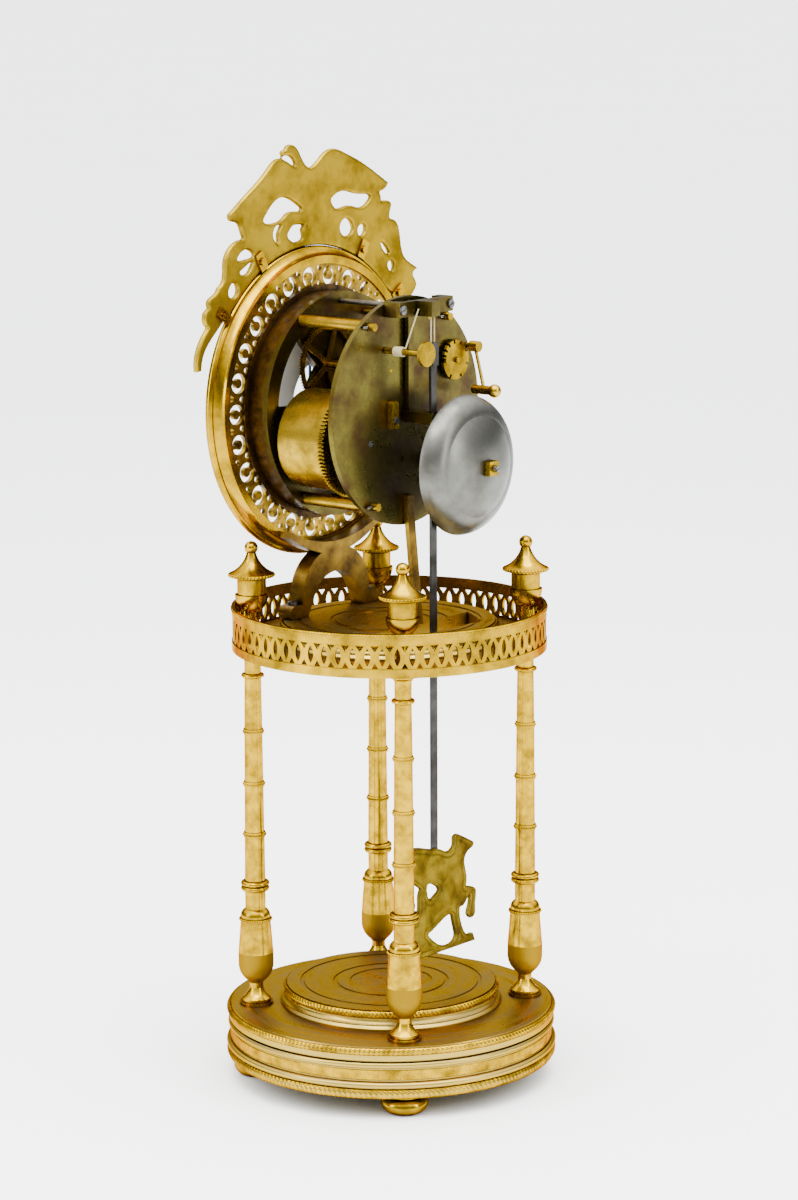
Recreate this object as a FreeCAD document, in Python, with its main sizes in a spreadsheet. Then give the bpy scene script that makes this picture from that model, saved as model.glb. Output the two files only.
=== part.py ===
import FreeCAD, Part
import math
import operator
import os
import Sketcher

# A gilt bronze portico clock. A round plinth on four button feet carries four turned
# columns, a round gallery floor and, on an arched foot, an open movement behind a round
# pierced dial. The pendulum hangs from silk behind the movement and swings between the
# columns. The dial faces -Y, +Z is up, and the origin is on the floor at the middle.

doc = FreeCAD.newDocument("PorticoClock")

# Driving dimensions in millimetres, angles in degrees. Heights go up from the piece that
# carries them, depths go forward from the inner face of the back plate.
SIZES = {
    "foot": {
        "foot_height": 10.3,
        "foot_floor_radius": 6.4,
        "foot_belly_radius": 11.2,
        "foot_belly_height": 4.6,
        "foot_belly_bulge": 1.1,
        "foot_neck_radius": 7.0,
        "foot_neck_height": 8.4,
        "foot_flange_radius": 8.5,
    },
    "plinth": {
        "plinth_wall": 5.0,
        "plinth_top_thickness": 3.4,
        "plinth_margin": 14.55,
        "lower_rope_inset": 0.4,
        "lower_rope_height": 4.8,
        "plinth_torus_height": 3.4,
        "engraved_band_inset": 2.2,
        "engraved_band_height": 6.4,
        "fillet_inset": 0.8,
        "fillet_height": 3.0,
        "groove_inset": 2.8,
        "groove_height": 1.0,
        "plain_band_inset": 1.4,
        "plain_band_height": 2.5,
        "upper_rope_inset": 0.7,
        "upper_rope_height": 3.4,
        "plinth_edge_inset": 1.8,
        "plinth_edge_height": 0.6,
        "round_depth_share": 0.44,
        "underplate_thickness": 2.0,
        "shell_fit": 0.15,
    },
    "step": {
        "step_foot_radius": 53.5,
        "step_foot_height": 2.1,
        "step_waist_inset": 3.2,
        "step_waist_height": 5.1,
        "step_rope_inset": 1.8,
        "step_rope_low": 5.6,
        "step_rope_height": 3.2,
        "step_edge_inset": 3.0,
        "step_height": 9.6,
        "step_wall": 4.0,
        "step_cove": 0.7,
        "ring_depth": 0.5,
        "ring_width": 2.0,
        "ring_outer_inset": 9.5,
        "ring_middle_inset": 25.5,
        "ring_inner_inset": 33.5,
    },
    "column": {
        "column_clearance": 11.95,
        "column_length": 174.9,
        "column_bore_fit": 0.15,
        "column_foot_radius": 7.9,
        "column_foot_height": 1.5,
        "column_step_radius": 6.9,
        "column_step_height": 3.0,
        "column_cove": 0.5,
        "column_ankle_radius": 3.3,
        "column_ankle_low": 8.2,
        "column_ankle_high": 10.6,
        "vase_base_radius": 4.6,
        "vase_base_height": 12.1,
        "vase_radius": 8.5,
        "vase_belly_height": 20.6,
        "vase_bulge": 1.1,
        "vase_mark_height": 25.9,
        "vase_shoulder_radius": 7.7,
        "vase_shoulder_height": 41.6,
        "vase_ring_height": 1.4,
        "vase_crown_radius": 7.1,
        "vase_neck_radius": 4.9,
        "vase_neck_height": 47.6,
        "vase_neck_bulge": 0.9,
        "collar_low": 56.6,
        "collar_ring_height": 2.4,
        "collar_radius": 6.9,
        "shaft_low_radius": 4.95,
        "shaft_high_radius": 3.95,
        "band_height": 2.4,
        "band_rise": 0.5,
        "first_band_share": 0.4757,
        "second_band_share": 0.618067,
        "third_band_share": 0.765009,
        "neck_ring_drop": 13.6,
        "neck_ring_height": 2.0,
        "neck_ring_radius": 5.5,
        "column_head_radius": 5.8,
        "column_head_height": 1.6,
        "column_head_flare": 2.6,
        "rod_radius": 2.0,
        "rod_foot_depth": 7.3,
        "rod_finial_depth": 11.0,
    },
    "gallery": {
        "floor_margin": 7.95,
        "floor_thickness": 3.7,
        "slot_front": 19.0,
        "slot_back_inset": 15.5,
        "slot_front_inset": 17.5,
        "slot_corner_inset": 29.5,
        "band_lap": 1.8,
        "band_wall": 1.7,
        "band_low_height": 4.1,
        "band_pierced_height": 11.2,
        "band_plain_height": 2.8,
        "band_bead_height": 2.3,
        "band_recess": 0.4,
        "piercings": 68,
        "lens_width": 2.9,
        "lens_low": 5.5,
        "lens_high": 13.9,
        "upper_notch_width": 4.0,
        "upper_notch_low": 12.0,
        "lower_notch_width": 3.2,
        "lower_notch_high": 7.1,
        "notch_inset": 0.3,
    },
    "finial": {
        "finial_foot_radius": 4.4,
        "finial_foot_height": 1.4,
        "finial_stem_radius": 3.3,
        "finial_stem_height": 14.6,
        "finial_cup_radius": 8.0,
        "finial_cup_top": 23.0,
        "finial_cup_bulge": 1.3,
        "finial_body_radius": 6.9,
        "finial_body_top": 30.4,
        "finial_lid_radius": 10.7,
        "finial_lid_low": 31.6,
        "finial_lid_edge": 1.5,
        "finial_cone_hollow": 1.6,
        "finial_tip_neck_radius": 2.2,
        "finial_tip_neck_height": 43.0,
        "finial_ball_radius": 3.2,
        "ball_under_share": 0.08,
        "ball_over_share": 0.235,
        "ball_flat_radius": 0.8,
        "finial_height": 48.3,
    },
    "arched foot": {
        "arch_thickness": 8.0,
        "arch_pad_inner": 20.5,
        "arch_pad_outer": 32.5,
        "arch_pad_height": 6.4,
        "arch_pad_round": 1.6,
        "arch_leg_inner": 17.6,
        "arch_leg_outer": 24.6,
        "arch_leg_bulge": 4.6,
        "arch_crown": 19.4,
        "saddle_root_half": 10.5,
        "saddle_root_height": 29.6,
        "saddle_half": 32.0,
        "saddle_tip": 3.0,
        "saddle_under_bend": 1.1,
        "foot_screw_radius": 2.4,
        "foot_screw_head": 1.5,
        "foot_screw_slot": 0.7,
        "foot_screw_place": 27.4,
    },
    "movement frame": {
        "centre_rise": 110.5,
        "back_plate_inner": 8.76,
        "back_plate_radius": 54.0,
        "back_plate_thickness": 2.5,
        "front_plate_radius": 53.5,
        "front_plate_thickness": 3.0,
        "plate_gap": 37.76,
        "front_ring_inner": 45.5,
        "window_inner": 25.0,
        "right_window_start": 4.0,
        "right_window_end": 48.0,
        "left_window_start": 158.0,
        "left_window_end": 193.0,
        "low_window_inner": 13.0,
        "low_window_start": 240.0,
        "low_window_end": 300.0,
        "pillar_radius": 3.0,
        "pillar_end_radius": 1.8,
        "pillar_end_length": 4.2,
        "upper_pillar_across": 28.0,
        "upper_pillar_up": 42.0,
        "lower_pillar_across": 26.0,
        "lower_pillar_down": 42.4,
        "pin_thick_radius": 0.8,
        "pin_fit": 0.05,
        "pin_thin_radius": 0.6,
        "pin_length": 9.0,
        "pin_behind_plate": 1.3,
        "plate_fit": 0.1,
        "end_shake": 0.3,
        "pivot_radius": 0.9,
        "arbor_radius": 1.3,
    },
    "teeth": {
        "tooth_root_share": 0.56,
        "tooth_tip_share": 0.2,
        "addendum_share": 0.85,
        "dedendum_share": 1.2,
        "rim_share": 0.12,
        "arm_share": 0.16,
        "wheel_arms": 5,
        "hub_radius": 3.4,
    },
    "going train": {
        "barrel_module": 0.6,
        "great_teeth": 84,
        "centre_pinion_teeth": 14,
        "barrel_angle": 26.11,
        "great_depth": 5.76,
        "great_thickness": 3.0,
        "barrel_radius": 23.3,
        "barrel_wall": 1.2,
        "barrel_end_gap": 3.0,
        "winding_arbor_radius": 3.0,
        "winding_pivot_radius": 1.6,
        "spring_fit": 0.5,
        "spring_turns": 8,
        "spring_strip": 0.6,
        "winding_fit": 0.1,
        "winding_square_half": 1.5,
        "winding_reach": 8.1,
        "centre_pinion_depth": 5.46,
        "centre_pinion_width": 3.6,
        "centre_module": 0.5,
        "centre_teeth": 84,
        "centre_wheel_depth": 4.06,
        "wheel_thickness": 1.0,
        "third_pinion_teeth": 8,
        "third_angle": 60.0,
        "third_pinion_depth": 3.56,
        "third_pinion_width": 2.0,
        "third_module": 0.45,
        "third_teeth": 88,
        "third_wheel_back": 2.0,
        "escape_pinion_teeth": 8,
        "escape_pinion_back": 2.3,
        "escape_pinion_width": 1.6,
        "escape_teeth": 30,
        "escape_radius": 7.6,
        "escape_tooth_depth": 1.9,
        "escape_wheel_depth": 3.26,
        "escape_wheel_thickness": 1.5,
        "pallet_rise": 10.8,
        "pallet_reach": 8.3,
        "pallet_spread": 40.0,
        "pallet_width": 1.3,
    },
    "strike train": {
        "strike_great_depth": 9.36,
        "count_teeth": 31,
        "count_angle": 101.5,
        "count_gear_depth": 9.56,
        "count_gear_width": 2.6,
        "count_wheel_radius": 9.5,
        "count_wheel_behind": 1.74,
        "count_wheel_thickness": 1.5,
        "count_notches": 11,
        "count_notch_width": 1.3,
        "count_notch_depth": 1.8,
        "pin_pinion_teeth": 12,
        "pin_angle": 74.87,
        "pin_pinion_depth": 9.16,
        "pin_pinion_width": 3.4,
        "pin_module": 0.45,
        "pin_teeth": 60,
        "pin_wheel_depth": 0.56,
        "pin_wheel_thickness": 1.2,
        "lifting_pins": 8,
        "lifting_pin_circle": 11.0,
        "lifting_pin_radius": 0.45,
        "lifting_pin_length": 1.8,
        "stop_pinion_teeth": 8,
        "stop_angle": 74.87,
        "stop_pinion_depth": 0.36,
        "stop_pinion_width": 1.6,
        "stop_module": 0.4,
        "stop_teeth": 56,
        "stop_wheel_depth": 27.76,
        "fly_pinion_teeth": 8,
        "fly_angle": 99.9,
        "fly_pinion_depth": 27.56,
        "fly_pinion_width": 1.4,
        "fly_radius": 7.0,
        "fly_depth": 13.76,
        "fly_length": 10.0,
        "fly_thickness": 0.5,
    },
    "motion work": {
        "motion_module": 0.5,
        "cannon_teeth": 12,
        "minute_wheel_teeth": 36,
        "hour_module": 0.48,
        "minute_pinion_teeth": 10,
        "hour_teeth": 40,
        "motion_angle": 90.0,
        "cannon_out": 2.9,
        "cannon_width": 2.4,
        "minute_wheel_out": 3.3,
        "minute_pinion_out": 4.7,
        "minute_pinion_width": 2.6,
        "hour_wheel_out": 5.6,
        "motion_wheel_thickness": 1.1,
        "cannon_tube_radius": 1.9,
        "cannon_reach": 17.4,
        "hour_pipe_bore": 2.0,
        "hour_pipe_radius": 2.8,
        "hour_pipe_reach": 14.8,
        "stud_radius": 1.0,
        "stud_reach": 8.4,
        "ratchet_out": 1.0,
        "ratchet_thickness": 1.5,
        "ratchet_radius": 9.0,
        "ratchet_teeth": 24,
        "ratchet_tooth_depth": 1.1,
        "click_place": 13.0,
        "click_boss_radius": 2.0,
        "click_nose": 0.9,
        "click_clear": 0.3,
        "click_angle": 40.0,
        "click_width": 2.4,
        "click_screw_height": 0.8,
    },
    "dial": {
        "pan_stand_off": 10.0,
        "pan_flange": 1.5,
        "pan_inner_radius": 46.5,
        "pan_outer_radius": 56.0,
        "pan_collar_radius": 53.0,
        "pan_collar_wall": 1.6,
        "chapter_inner_radius": 20.0,
        "chapter_outer_radius": 50.5,
        "chapter_thickness": 1.8,
        "winding_hole_radius": 3.0,
        "fret_inner_radius": 54.0,
        "fret_fit": 0.2,
        "fret_thickness": 2.0,
        "fret_cells": 26,
        "fret_cell_radius": 4.7,
        "fret_knob_radius": 2.3,
        "fret_stem_width": 1.9,
        "fret_spandrel_radius": 1.5,
        "fret_spandrel_inset": 2.6,
        "bezel_inner_radius": 66.8,
        "bezel_lip": 1.0,
        "bezel_rim_radius": 69.6,
        "bezel_cove_radius": 72.3,
        "bezel_cove_hollow": 0.7,
        "bezel_cove_depth": 3.6,
        "bezel_step": 0.9,
        "bezel_radius": 74.0,
        "bezel_roll_round": 0.8,
        "bezel_roll_low": 4.3,
        "bezel_roll_height": 3.5,
        "bezel_front_depth": 8.0,
        "bezel_front_radius": 72.0,
        "bezel_slope_radius": 68.4,
        "bezel_slope_depth": 5.0,
        "bezel_slope_hollow": 0.9,
        "hour_hand_length": 27.0,
        "minute_hand_length": 42.0,
        "hand_width": 3.0,
        "hand_thickness": 0.8,
        "hand_ring_radius": 3.4,
        "hand_ring_share": 0.72,
        "hand_fit": 0.05,
        "shown_hour": 12,
        "shown_minute": 0,
    },
    "crest": {
        "crest_wing": 8.0,
        "crest_foot_rise": 21.5,
        "crest_rise": 101.0,
        "crest_setback": 4.6,
        "crest_thickness": 3.0,
        "crest_fit": 0.15,
        "clip_length": 9.0,
        "clip_width": 5.0,
        "clip_thickness": 1.2,
        "clip_screw_radius": 1.8,
        "clip_screw_height": 1.2,
        "upper_clip_angle": 62.0,
        "lower_clip_angle": 36.0,
        "crest_meet_angle": 43.0,
    },
    "back works": {
        "cock_left": 24.7,
        "cock_right": 16.6,
        "cock_foot_width": 6.0,
        "cock_beam_rear": 8.9,
        "cock_beam_thickness": 3.2,
        "cock_nose_half": 3.0,
        "cock_nose_rear": 17.8,
        "cock_height": 7.0,
        "cock_below_axis": 3.5,
        "cock_corner": 1.2,
        "crutch_gap": 0.8,
        "crutch_thickness": 2.0,
        "crutch_half": 1.9,
        "crutch_collet_radius": 4.0,
        "crutch_length": 54.0,
        "fork_height": 5.4,
        "fork_half": 3.6,
        "fork_rear": 18.0,
        "fork_slot_half": 2.3,
        "fork_slot_front": 13.6,
        "hammer_across": 43.5,
        "hammer_up": 26.5,
        "hammer_tail": 14.6,
        "hammer_tail_angle": 308.8,
        "hammer_tail_depth": 1.96,
        "hammer_tail_width": 1.8,
        "hammer_block_radius": 2.6,
        "hammer_block_length": 5.0,
        "hammer_rear": 9.0,
        "hammer_wire_radius": 0.8,
        "hammer_head_across": 3.0,
        "hammer_head_drop": 20.0,
        "hammer_head_radius": 2.2,
        "hammer_ball_radius": 3.2,
        "hammer_head_front": 8.0,
        "hammer_head_rear": 20.6,
        "bell_across": 19.3,
        "bell_down": 26.5,
        "bell_radius": 33.3,
        "bell_rim": 18.74,
        "bell_height": 15.0,
        "bell_wall": 1.5,
        "bell_shoulder_radius": 24.0,
        "bell_shoulder_height": 9.4,
        "bell_flank_bulge": 2.2,
        "bell_crown_bulge": 1.4,
        "bell_post_radius": 2.2,
        "bell_post_foot_radius": 4.5,
        "bell_post_foot_height": 3.0,
        "bell_post_neck_radius": 1.6,
        "bell_nut_half": 3.4,
        "bell_nut_height": 3.4,
        "bell_nut_dome": 1.6,
        "regulator_across": 15.6,
        "regulator_up": 29.9,
        "regulator_radius": 1.5,
        "regulator_reach": 25.3,
        "regulator_disc_radius": 5.8,
        "regulator_disc_thickness": 1.5,
        "silk_radius": 0.35,
        "silk_winding_radius": 2.3,
        "silk_winding_start": 6.0,
        "silk_winding_length": 5.0,
        "silk_place_share": 0.8,
        "block_across": 12.4,
        "block_width": 5.0,
        "block_height": 14.0,
        "block_thickness": 3.4,
        "strut_half": 2.5,
        "strut_thickness": 2.4,
        "strut_top": 40.0,
        "strut_tab": 8.0,
        "strut_foot_run": 5.0,
        "strut_foot_length": 9.0,
    },
    "pendulum": {
        "pendulum_back": 18.24,
        "rod_half_width": 2.0,
        "rod_thickness": 1.5,
        "rod_top_drop": 21.5,
        "rod_lap": 43.0027,
        "hook_thickness": 1.2,
        "hook_height": 11.0,
        "hook_lap": 5.0,
        "hook_pin_radius": 0.8,
        "hook_pin_drop": 17.2,
        "loop_fit": 0.05,
        "bob_clearance": 19.0,
        "bob_height": 56.6,
        "bob_half_width": 28.4,
        "bob_thickness": 3.0,
    },
}


# Each group becomes a block of rows in the sheet: a title, then one named number per row.
sheet = doc.addObject("Spreadsheet::Sheet", "Sizes")
row = 1
for group_name, group in SIZES.items():
    sheet.set("A%d" % row, group_name)
    row = row + 1
    for alias, number in group.items():
        sheet.set("A%d" % row, alias)
        sheet.set("B%d" % row, str(number))
        sheet.setAlias("B%d" % row, alias)
        row = row + 1
doc.recompute()


# A size is a number together with the sheet formula that gives it, so that the same sum
# sets a drawing today and keeps it bound to the sheet.
class Size:
    def __init__(self, number, formula):
        self.number = float(number)
        self.formula = formula

    def __float__(self):
        return self.number

    def __neg__(self):
        return combined(0.0, "-", self)

    def __add__(self, other):
        return combined(self, "+", other)

    def __radd__(self, other):
        return combined(other, "+", self)

    def __sub__(self, other):
        return combined(self, "-", other)

    def __rsub__(self, other):
        return combined(other, "-", self)

    def __mul__(self, other):
        return combined(self, "*", other)

    def __rmul__(self, other):
        return combined(other, "*", self)

    def __truediv__(self, other):
        return combined(self, "/", other)


SIGNS = {"+": operator.add, "-": operator.sub, "*": operator.mul, "/": operator.truediv}


def as_size(value):
    if isinstance(value, Size):
        return value
    return Size(value, repr(float(value)))


def combined(left, sign, right):
    left, right = as_size(left), as_size(right)
    number = SIGNS[sign](left.number, right.number)
    return Size(number, "(%s %s %s)" % (left.formula, sign, right.formula))


# Reads a named size from the sheet: S.foot_height.
class NamedSizes:
    def __getattr__(self, alias):
        return Size(sheet.get(alias), "Sizes." + alias)


S = NamedSizes()


def across(radius, angle):
    number = float(radius) * math.cos(math.radians(float(angle)))
    return Size(number, "(%s * cos(%s))" % (radius.formula, as_size(angle).formula))


def upward(radius, angle):
    number = float(radius) * math.sin(math.radians(float(angle)))
    return Size(number, "(%s * sin(%s))" % (radius.formula, as_size(angle).formula))


def square_root(size):
    return Size(math.sqrt(float(size)), "sqrt(%s)" % size.formula)


def vector(x, y, z=0):
    return FreeCAD.Vector(float(x), float(y), float(z))


# Drawings for the movement and the dial are made as seen from the front, so their height
# axis is turned to point forward, out of the back plate.
UPRIGHT = FreeCAD.Rotation()
FRONTAL = FreeCAD.Rotation(FreeCAD.Vector(1, 0, 0), 90)
CORNERS = ((1, 1), (-1, 1), (-1, -1), (1, -1))

nodes = []


def place(thing, x=0, y=0, z=0, turn=UPRIGHT):
    thing.Placement = FreeCAD.Placement(vector(x, y, z), turn)
    for letter, value in (("x", x), ("y", y), ("z", z)):
        if isinstance(value, Size):
            thing.setExpression(".Placement.Base." + letter, value.formula)
    return thing


def as_node(thing, label):
    thing.Label = label
    nodes.append(thing)
    return thing


# Sketch helpers. Corners are (x, y) pairs, and a third value bends the side that follows
# into an arc that rises by so much to the right of its run. Zero puts a point on an axis.
def sketch_on(body, role="XY_Plane", height=None):
    plane = [item for item in body.Origin.OriginFeatures if item.Role == role][0]
    sketch = body.newObject("Sketcher::SketchObject", body.Name + "_sketch")
    sketch.AttachmentSupport = [(plane, "")]
    sketch.MapMode = "FlatFace"
    if height is not None:
        sketch.setExpression("AttachmentOffset.Base.z", height.formula)
    return sketch


def hold(sketch, wanted):
    first = sketch.ConstraintCount
    sketch.addConstraint([constraint for constraint, formula in wanted])
    for index, (constraint, formula) in enumerate(wanted):
        if formula:
            sketch.setExpression("Constraints[%d]" % (first + index), formula)


def point_held(geometry, end, x, y):
    wanted = []
    for value, kind, axis in ((x, "DistanceX", -2), (y, "DistanceY", -1)):
        if isinstance(value, Size):
            distance = Sketcher.Constraint(kind, -1, 1, geometry, end, float(value))
            wanted.append((distance, value.formula))
        else:
            wanted.append((Sketcher.Constraint("PointOnObject", geometry, end, axis), None))
    return wanted


def outline(sketch, corners):
    ends = []
    wanted = []
    for index, corner in enumerate(corners):
        after = corners[(index + 1) % len(corners)]
        start, stop = vector(corner[0], corner[1]), vector(after[0], after[1])
        if len(corner) == 2:
            geometry = sketch.addGeometry(Part.LineSegment(start, stop))
            ends.append((geometry, 1, 2))
            continue
        run = stop - start
        rise = corner[2]
        side = FreeCAD.Vector(run.y, -run.x, 0).normalize()
        middle = (start + stop) * 0.5 + side * float(rise)
        geometry = sketch.addGeometry(Part.Arc(start, middle, stop))
        forward = sketch.getPoint(geometry, 1).isEqual(start, 1e-6)
        ends.append((geometry, 1, 2) if forward else (geometry, 2, 1))
        half_square = (squared(after[0] - corner[0]) + squared(after[1] - corner[1])) / 4
        radius = (half_square + squared(rise)) / (2 * rise)
        if float(radius) < 0:
            radius = -radius
        wanted.append((Sketcher.Constraint("Radius", geometry, float(radius)), radius.formula))
    for index, (geometry, first, last) in enumerate(ends):
        following = ends[(index + 1) % len(ends)]
        joint = Sketcher.Constraint("Coincident", geometry, last, following[0], following[1])
        wanted.append((joint, None))
        wanted.extend(point_held(geometry, first, corners[index][0], corners[index][1]))
    hold(sketch, wanted)


def squared(value):
    return as_size(value) * as_size(value)


def circle(sketch, x, y, radius):
    middle = vector(x, y)
    ring = Part.Circle(middle, FreeCAD.Vector(0, 0, 1), float(radius))
    geometry = sketch.addGeometry(ring)
    wanted = point_held(geometry, 3, x, y)
    wanted.append((Sketcher.Constraint("Radius", geometry, float(radius)), radius.formula))
    hold(sketch, wanted)


def new_body(name):
    return doc.addObject("PartDesign::Body", name)


def turned(name, profile):
    body = new_body(name)
    sketch = sketch_on(body, "XZ_Plane")
    outline(sketch, profile)
    feature = body.newObject("PartDesign::Revolution", name + "_turning")
    feature.Profile = sketch
    feature.ReferenceAxis = (sketch, ["V_Axis"])
    feature.Angle = 360
    return body


def padded(body, sketch, length, backward=False):
    feature = body.newObject("PartDesign::Pad", body.Name + "_pad")
    feature.Profile = sketch
    feature.setExpression("Length", length.formula)
    feature.Reversed = backward
    return feature


# A pocket right through, in the direction of the sketch's own normal.
def pocketed(body, sketch):
    feature = body.newObject("PartDesign::Pocket", body.Name + "_pocket")
    feature.Profile = sketch
    feature.Type = "ThroughAll"
    feature.Reversed = True
    return feature


def grouped(label, models, places):
    links = []
    for index, (x, y, z) in enumerate(places):
        link = doc.addObject("App::Link", "%s_%d" % (label, index + 1))
        link.LinkedObject = models[index % len(models)]
        links.append(place(link, x, y, z, models[index % len(models)].Placement.Rotation))
    group = doc.addObject("Part::Compound", label)
    group.Links = links
    return as_node(group, label)


def shaped(label, shape, x=0, y=0, z=0, turn=UPRIGHT):
    feature = doc.addObject("Part::Feature", label)
    feature.Shape = shape
    feature.Placement = FreeCAD.Placement(vector(x, y, z), turn)
    return as_node(feature, label)


# A half round moulding at a height: the side steps in by its depth and bends out again.
def half_round(radius, low, height):
    depth = height * S.round_depth_share
    return [(radius - depth, low, depth), (radius - depth, low + height)]


# The step sets the plan: the columns stand clear of it on a circle, and the plinth and the
# gallery reach beyond that circle.
column_circle = S.step_foot_radius + S.column_clearance
column_offset = across(column_circle, 45)
plinth_radius = column_circle + S.plinth_margin
floor_radius = column_circle + S.floor_margin
band_radius = floor_radius + S.band_lap
ring_bore = S.rod_radius + S.column_bore_fit
base_top = S.foot_height + S.lower_rope_height + S.plinth_torus_height + S.engraved_band_height
base_top = base_top + S.fillet_height + S.groove_height + S.plain_band_height
base_top = base_top + S.upper_rope_height + S.plinth_edge_height


def column_holes(sketch):
    for side_x, side_y in CORNERS:
        circle(sketch, column_offset * side_x, column_offset * side_y, ring_bore)


def column_places(height):
    return [(column_offset * x, column_offset * y, height) for x, y in CORNERS]


# Four squat button feet, each bored from above for the end of its tie rod.
def make_feet():
    bore_floor = S.foot_height - S.rod_foot_depth
    model = turned("foot_model", [
        (0, 0),
        (S.foot_floor_radius, 0, S.foot_belly_bulge),
        (S.foot_belly_radius, S.foot_belly_height, S.foot_belly_bulge),
        (S.foot_neck_radius, S.foot_neck_height),
        (S.foot_flange_radius, S.foot_neck_height),
        (S.foot_flange_radius, S.foot_height),
        (ring_bore, S.foot_height),
        (ring_bore, bore_floor),
        (0, bore_floor),
    ])
    return grouped("feet", [model], column_places(0))


# The plinth is a hollow casting with stacked mouldings, closed below by a flat plate.
def make_plinth():
    levels = [S.foot_height]
    for height in (S.lower_rope_height, S.plinth_torus_height, S.engraved_band_height,
                   S.fillet_height, S.groove_height, S.plain_band_height, S.upper_rope_height):
        levels.append(levels[-1] + height)
    inner = plinth_radius - S.lower_rope_inset - S.plinth_wall
    engraved = plinth_radius - S.engraved_band_inset
    groove = plinth_radius - S.groove_inset
    plain = plinth_radius - S.plain_band_inset
    profile = [(inner, levels[0])]
    profile += half_round(plinth_radius - S.lower_rope_inset, levels[0], S.lower_rope_height)
    profile += half_round(plinth_radius, levels[1], S.plinth_torus_height)
    profile += [(engraved, levels[2]), (engraved, levels[3])]
    profile += half_round(plinth_radius - S.fillet_inset, levels[3], S.fillet_height)
    profile += [(groove, levels[4]), (groove, levels[5]), (plain, levels[5]), (plain, levels[6])]
    profile += half_round(plinth_radius - S.upper_rope_inset, levels[6], S.upper_rope_height)
    profile += [
        (plinth_radius - S.plinth_edge_inset - S.plinth_edge_height, base_top),
        (0, base_top),
        (0, base_top - S.plinth_top_thickness),
        (inner, base_top - S.plinth_top_thickness),
    ]
    body = turned("base_plinth", profile)
    holes = sketch_on(body)
    column_holes(holes)
    pocketed(body, holes)
    as_node(body, "base_plinth")

    plate = new_body("base_underplate")
    sketch = sketch_on(plate, "XY_Plane", S.foot_height)
    circle(sketch, 0, 0, inner - S.shell_fit)
    column_holes(sketch)
    padded(plate, sketch, S.underplate_thickness)
    as_node(plate, "base_underplate")


# The turned rings on top of the two raised discs, from the edge to the middle.
def disc_rings(top):
    low = top - S.ring_depth
    outer = S.step_foot_radius - S.ring_outer_inset
    middle = S.step_foot_radius - S.ring_middle_inset
    inner = S.step_foot_radius - S.ring_inner_inset
    return [
        (outer, top),
        (outer, low),
        (outer - S.ring_width, low),
        (outer - S.ring_width, top),
        (middle, top),
        (middle, low),
        (middle - S.ring_width, low),
        (middle - S.ring_width, top),
        (inner, top),
        (inner, low),
        (0, low),
    ]


def disc_side():
    return [
        (S.step_foot_radius, 0),
        (S.step_foot_radius, S.step_foot_height * S.round_depth_share),
        (S.step_foot_radius - S.step_foot_height * S.round_depth_share, S.step_foot_height,
         -S.step_cove),
        (S.step_foot_radius - S.step_waist_inset, S.step_waist_height),
    ] + half_round(S.step_foot_radius - S.step_rope_inset, S.step_rope_low, S.step_rope_height) + [
        (S.step_foot_radius - S.step_edge_inset, S.step_height),
    ]


# The raised step on the plinth, turned hollow.
def make_step():
    inner = S.step_foot_radius - S.step_waist_inset - S.step_wall
    roof = S.step_height - S.step_wall
    profile = [(inner, 0)] + disc_side() + disc_rings(S.step_height) + [(0, roof), (inner, roof)]
    body = turned("base_step", profile)
    return as_node(place(body, z=base_top), "base_step")


# Four columns. Each is turned: a foot, a vase, a double collar and a tapering shaft with
# three raised bands, a neck ring and a flared head. A tie rod passes through the bore.
def shaft_radius(height):
    low = S.collar_low + 2 * S.collar_ring_height
    share = (height - low) / (S.column_length - low)
    return S.shaft_low_radius - (S.shaft_low_radius - S.shaft_high_radius) * share


def column_profile():
    collar_middle = S.collar_low + S.collar_ring_height
    collar_top = collar_middle + S.collar_ring_height
    profile = [
        (ring_bore, 0),
        (S.column_foot_radius, 0),
        (S.column_foot_radius, S.column_foot_height),
        (S.column_step_radius, S.column_foot_height),
        (S.column_step_radius, S.column_step_height, -S.column_cove),
        (S.column_ankle_radius, S.column_ankle_low),
        (S.column_ankle_radius, S.column_ankle_high),
        (S.vase_base_radius, S.vase_base_height, S.vase_bulge),
        (S.vase_radius, S.vase_belly_height),
        (S.vase_radius, S.vase_mark_height),
        (S.vase_shoulder_radius - S.band_rise, S.vase_shoulder_height),
        (S.vase_shoulder_radius, S.vase_shoulder_height),
        (S.vase_shoulder_radius, S.vase_shoulder_height + S.vase_ring_height),
        (S.vase_crown_radius, S.vase_shoulder_height + S.vase_ring_height, S.vase_neck_bulge),
        (S.vase_neck_radius, S.vase_neck_height),
    ]
    profile += [(S.shaft_low_radius, S.collar_low)]
    profile += half_round(S.collar_radius, S.collar_low, S.collar_ring_height)[:1]
    profile += half_round(S.collar_radius, collar_middle, S.collar_ring_height)
    profile += [(S.shaft_low_radius, collar_top)]
    for share in (S.first_band_share, S.second_band_share, S.third_band_share):
        low = S.column_length * share
        high = low + S.band_height
        profile += [
            (shaft_radius(low), low),
            (shaft_radius(low) + S.band_rise, low),
            (shaft_radius(low) + S.band_rise, high),
            (shaft_radius(high), high),
        ]
    ring_low = S.column_length - S.neck_ring_drop
    ring_top = ring_low + S.neck_ring_height
    head_low = S.column_length - S.column_head_height
    profile += [(S.shaft_high_radius, ring_low)]
    profile += half_round(S.neck_ring_radius, ring_low, S.neck_ring_height)
    profile += [
        (S.shaft_high_radius, ring_top),
        (S.shaft_high_radius, head_low - S.column_head_flare, -S.column_cove),
        (S.column_head_radius, head_low),
        (S.column_head_radius, S.column_length),
        (ring_bore, S.column_length),
    ]
    return profile


def make_columns():
    names = ("column_right_rear", "column_left_rear", "column_left_front", "column_right_front")
    for name, (side_x, side_y) in zip(names, CORNERS):
        body = turned(name, column_profile())
        place(body, column_offset * side_x, column_offset * side_y, base_top)
        as_node(body, name)


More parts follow.
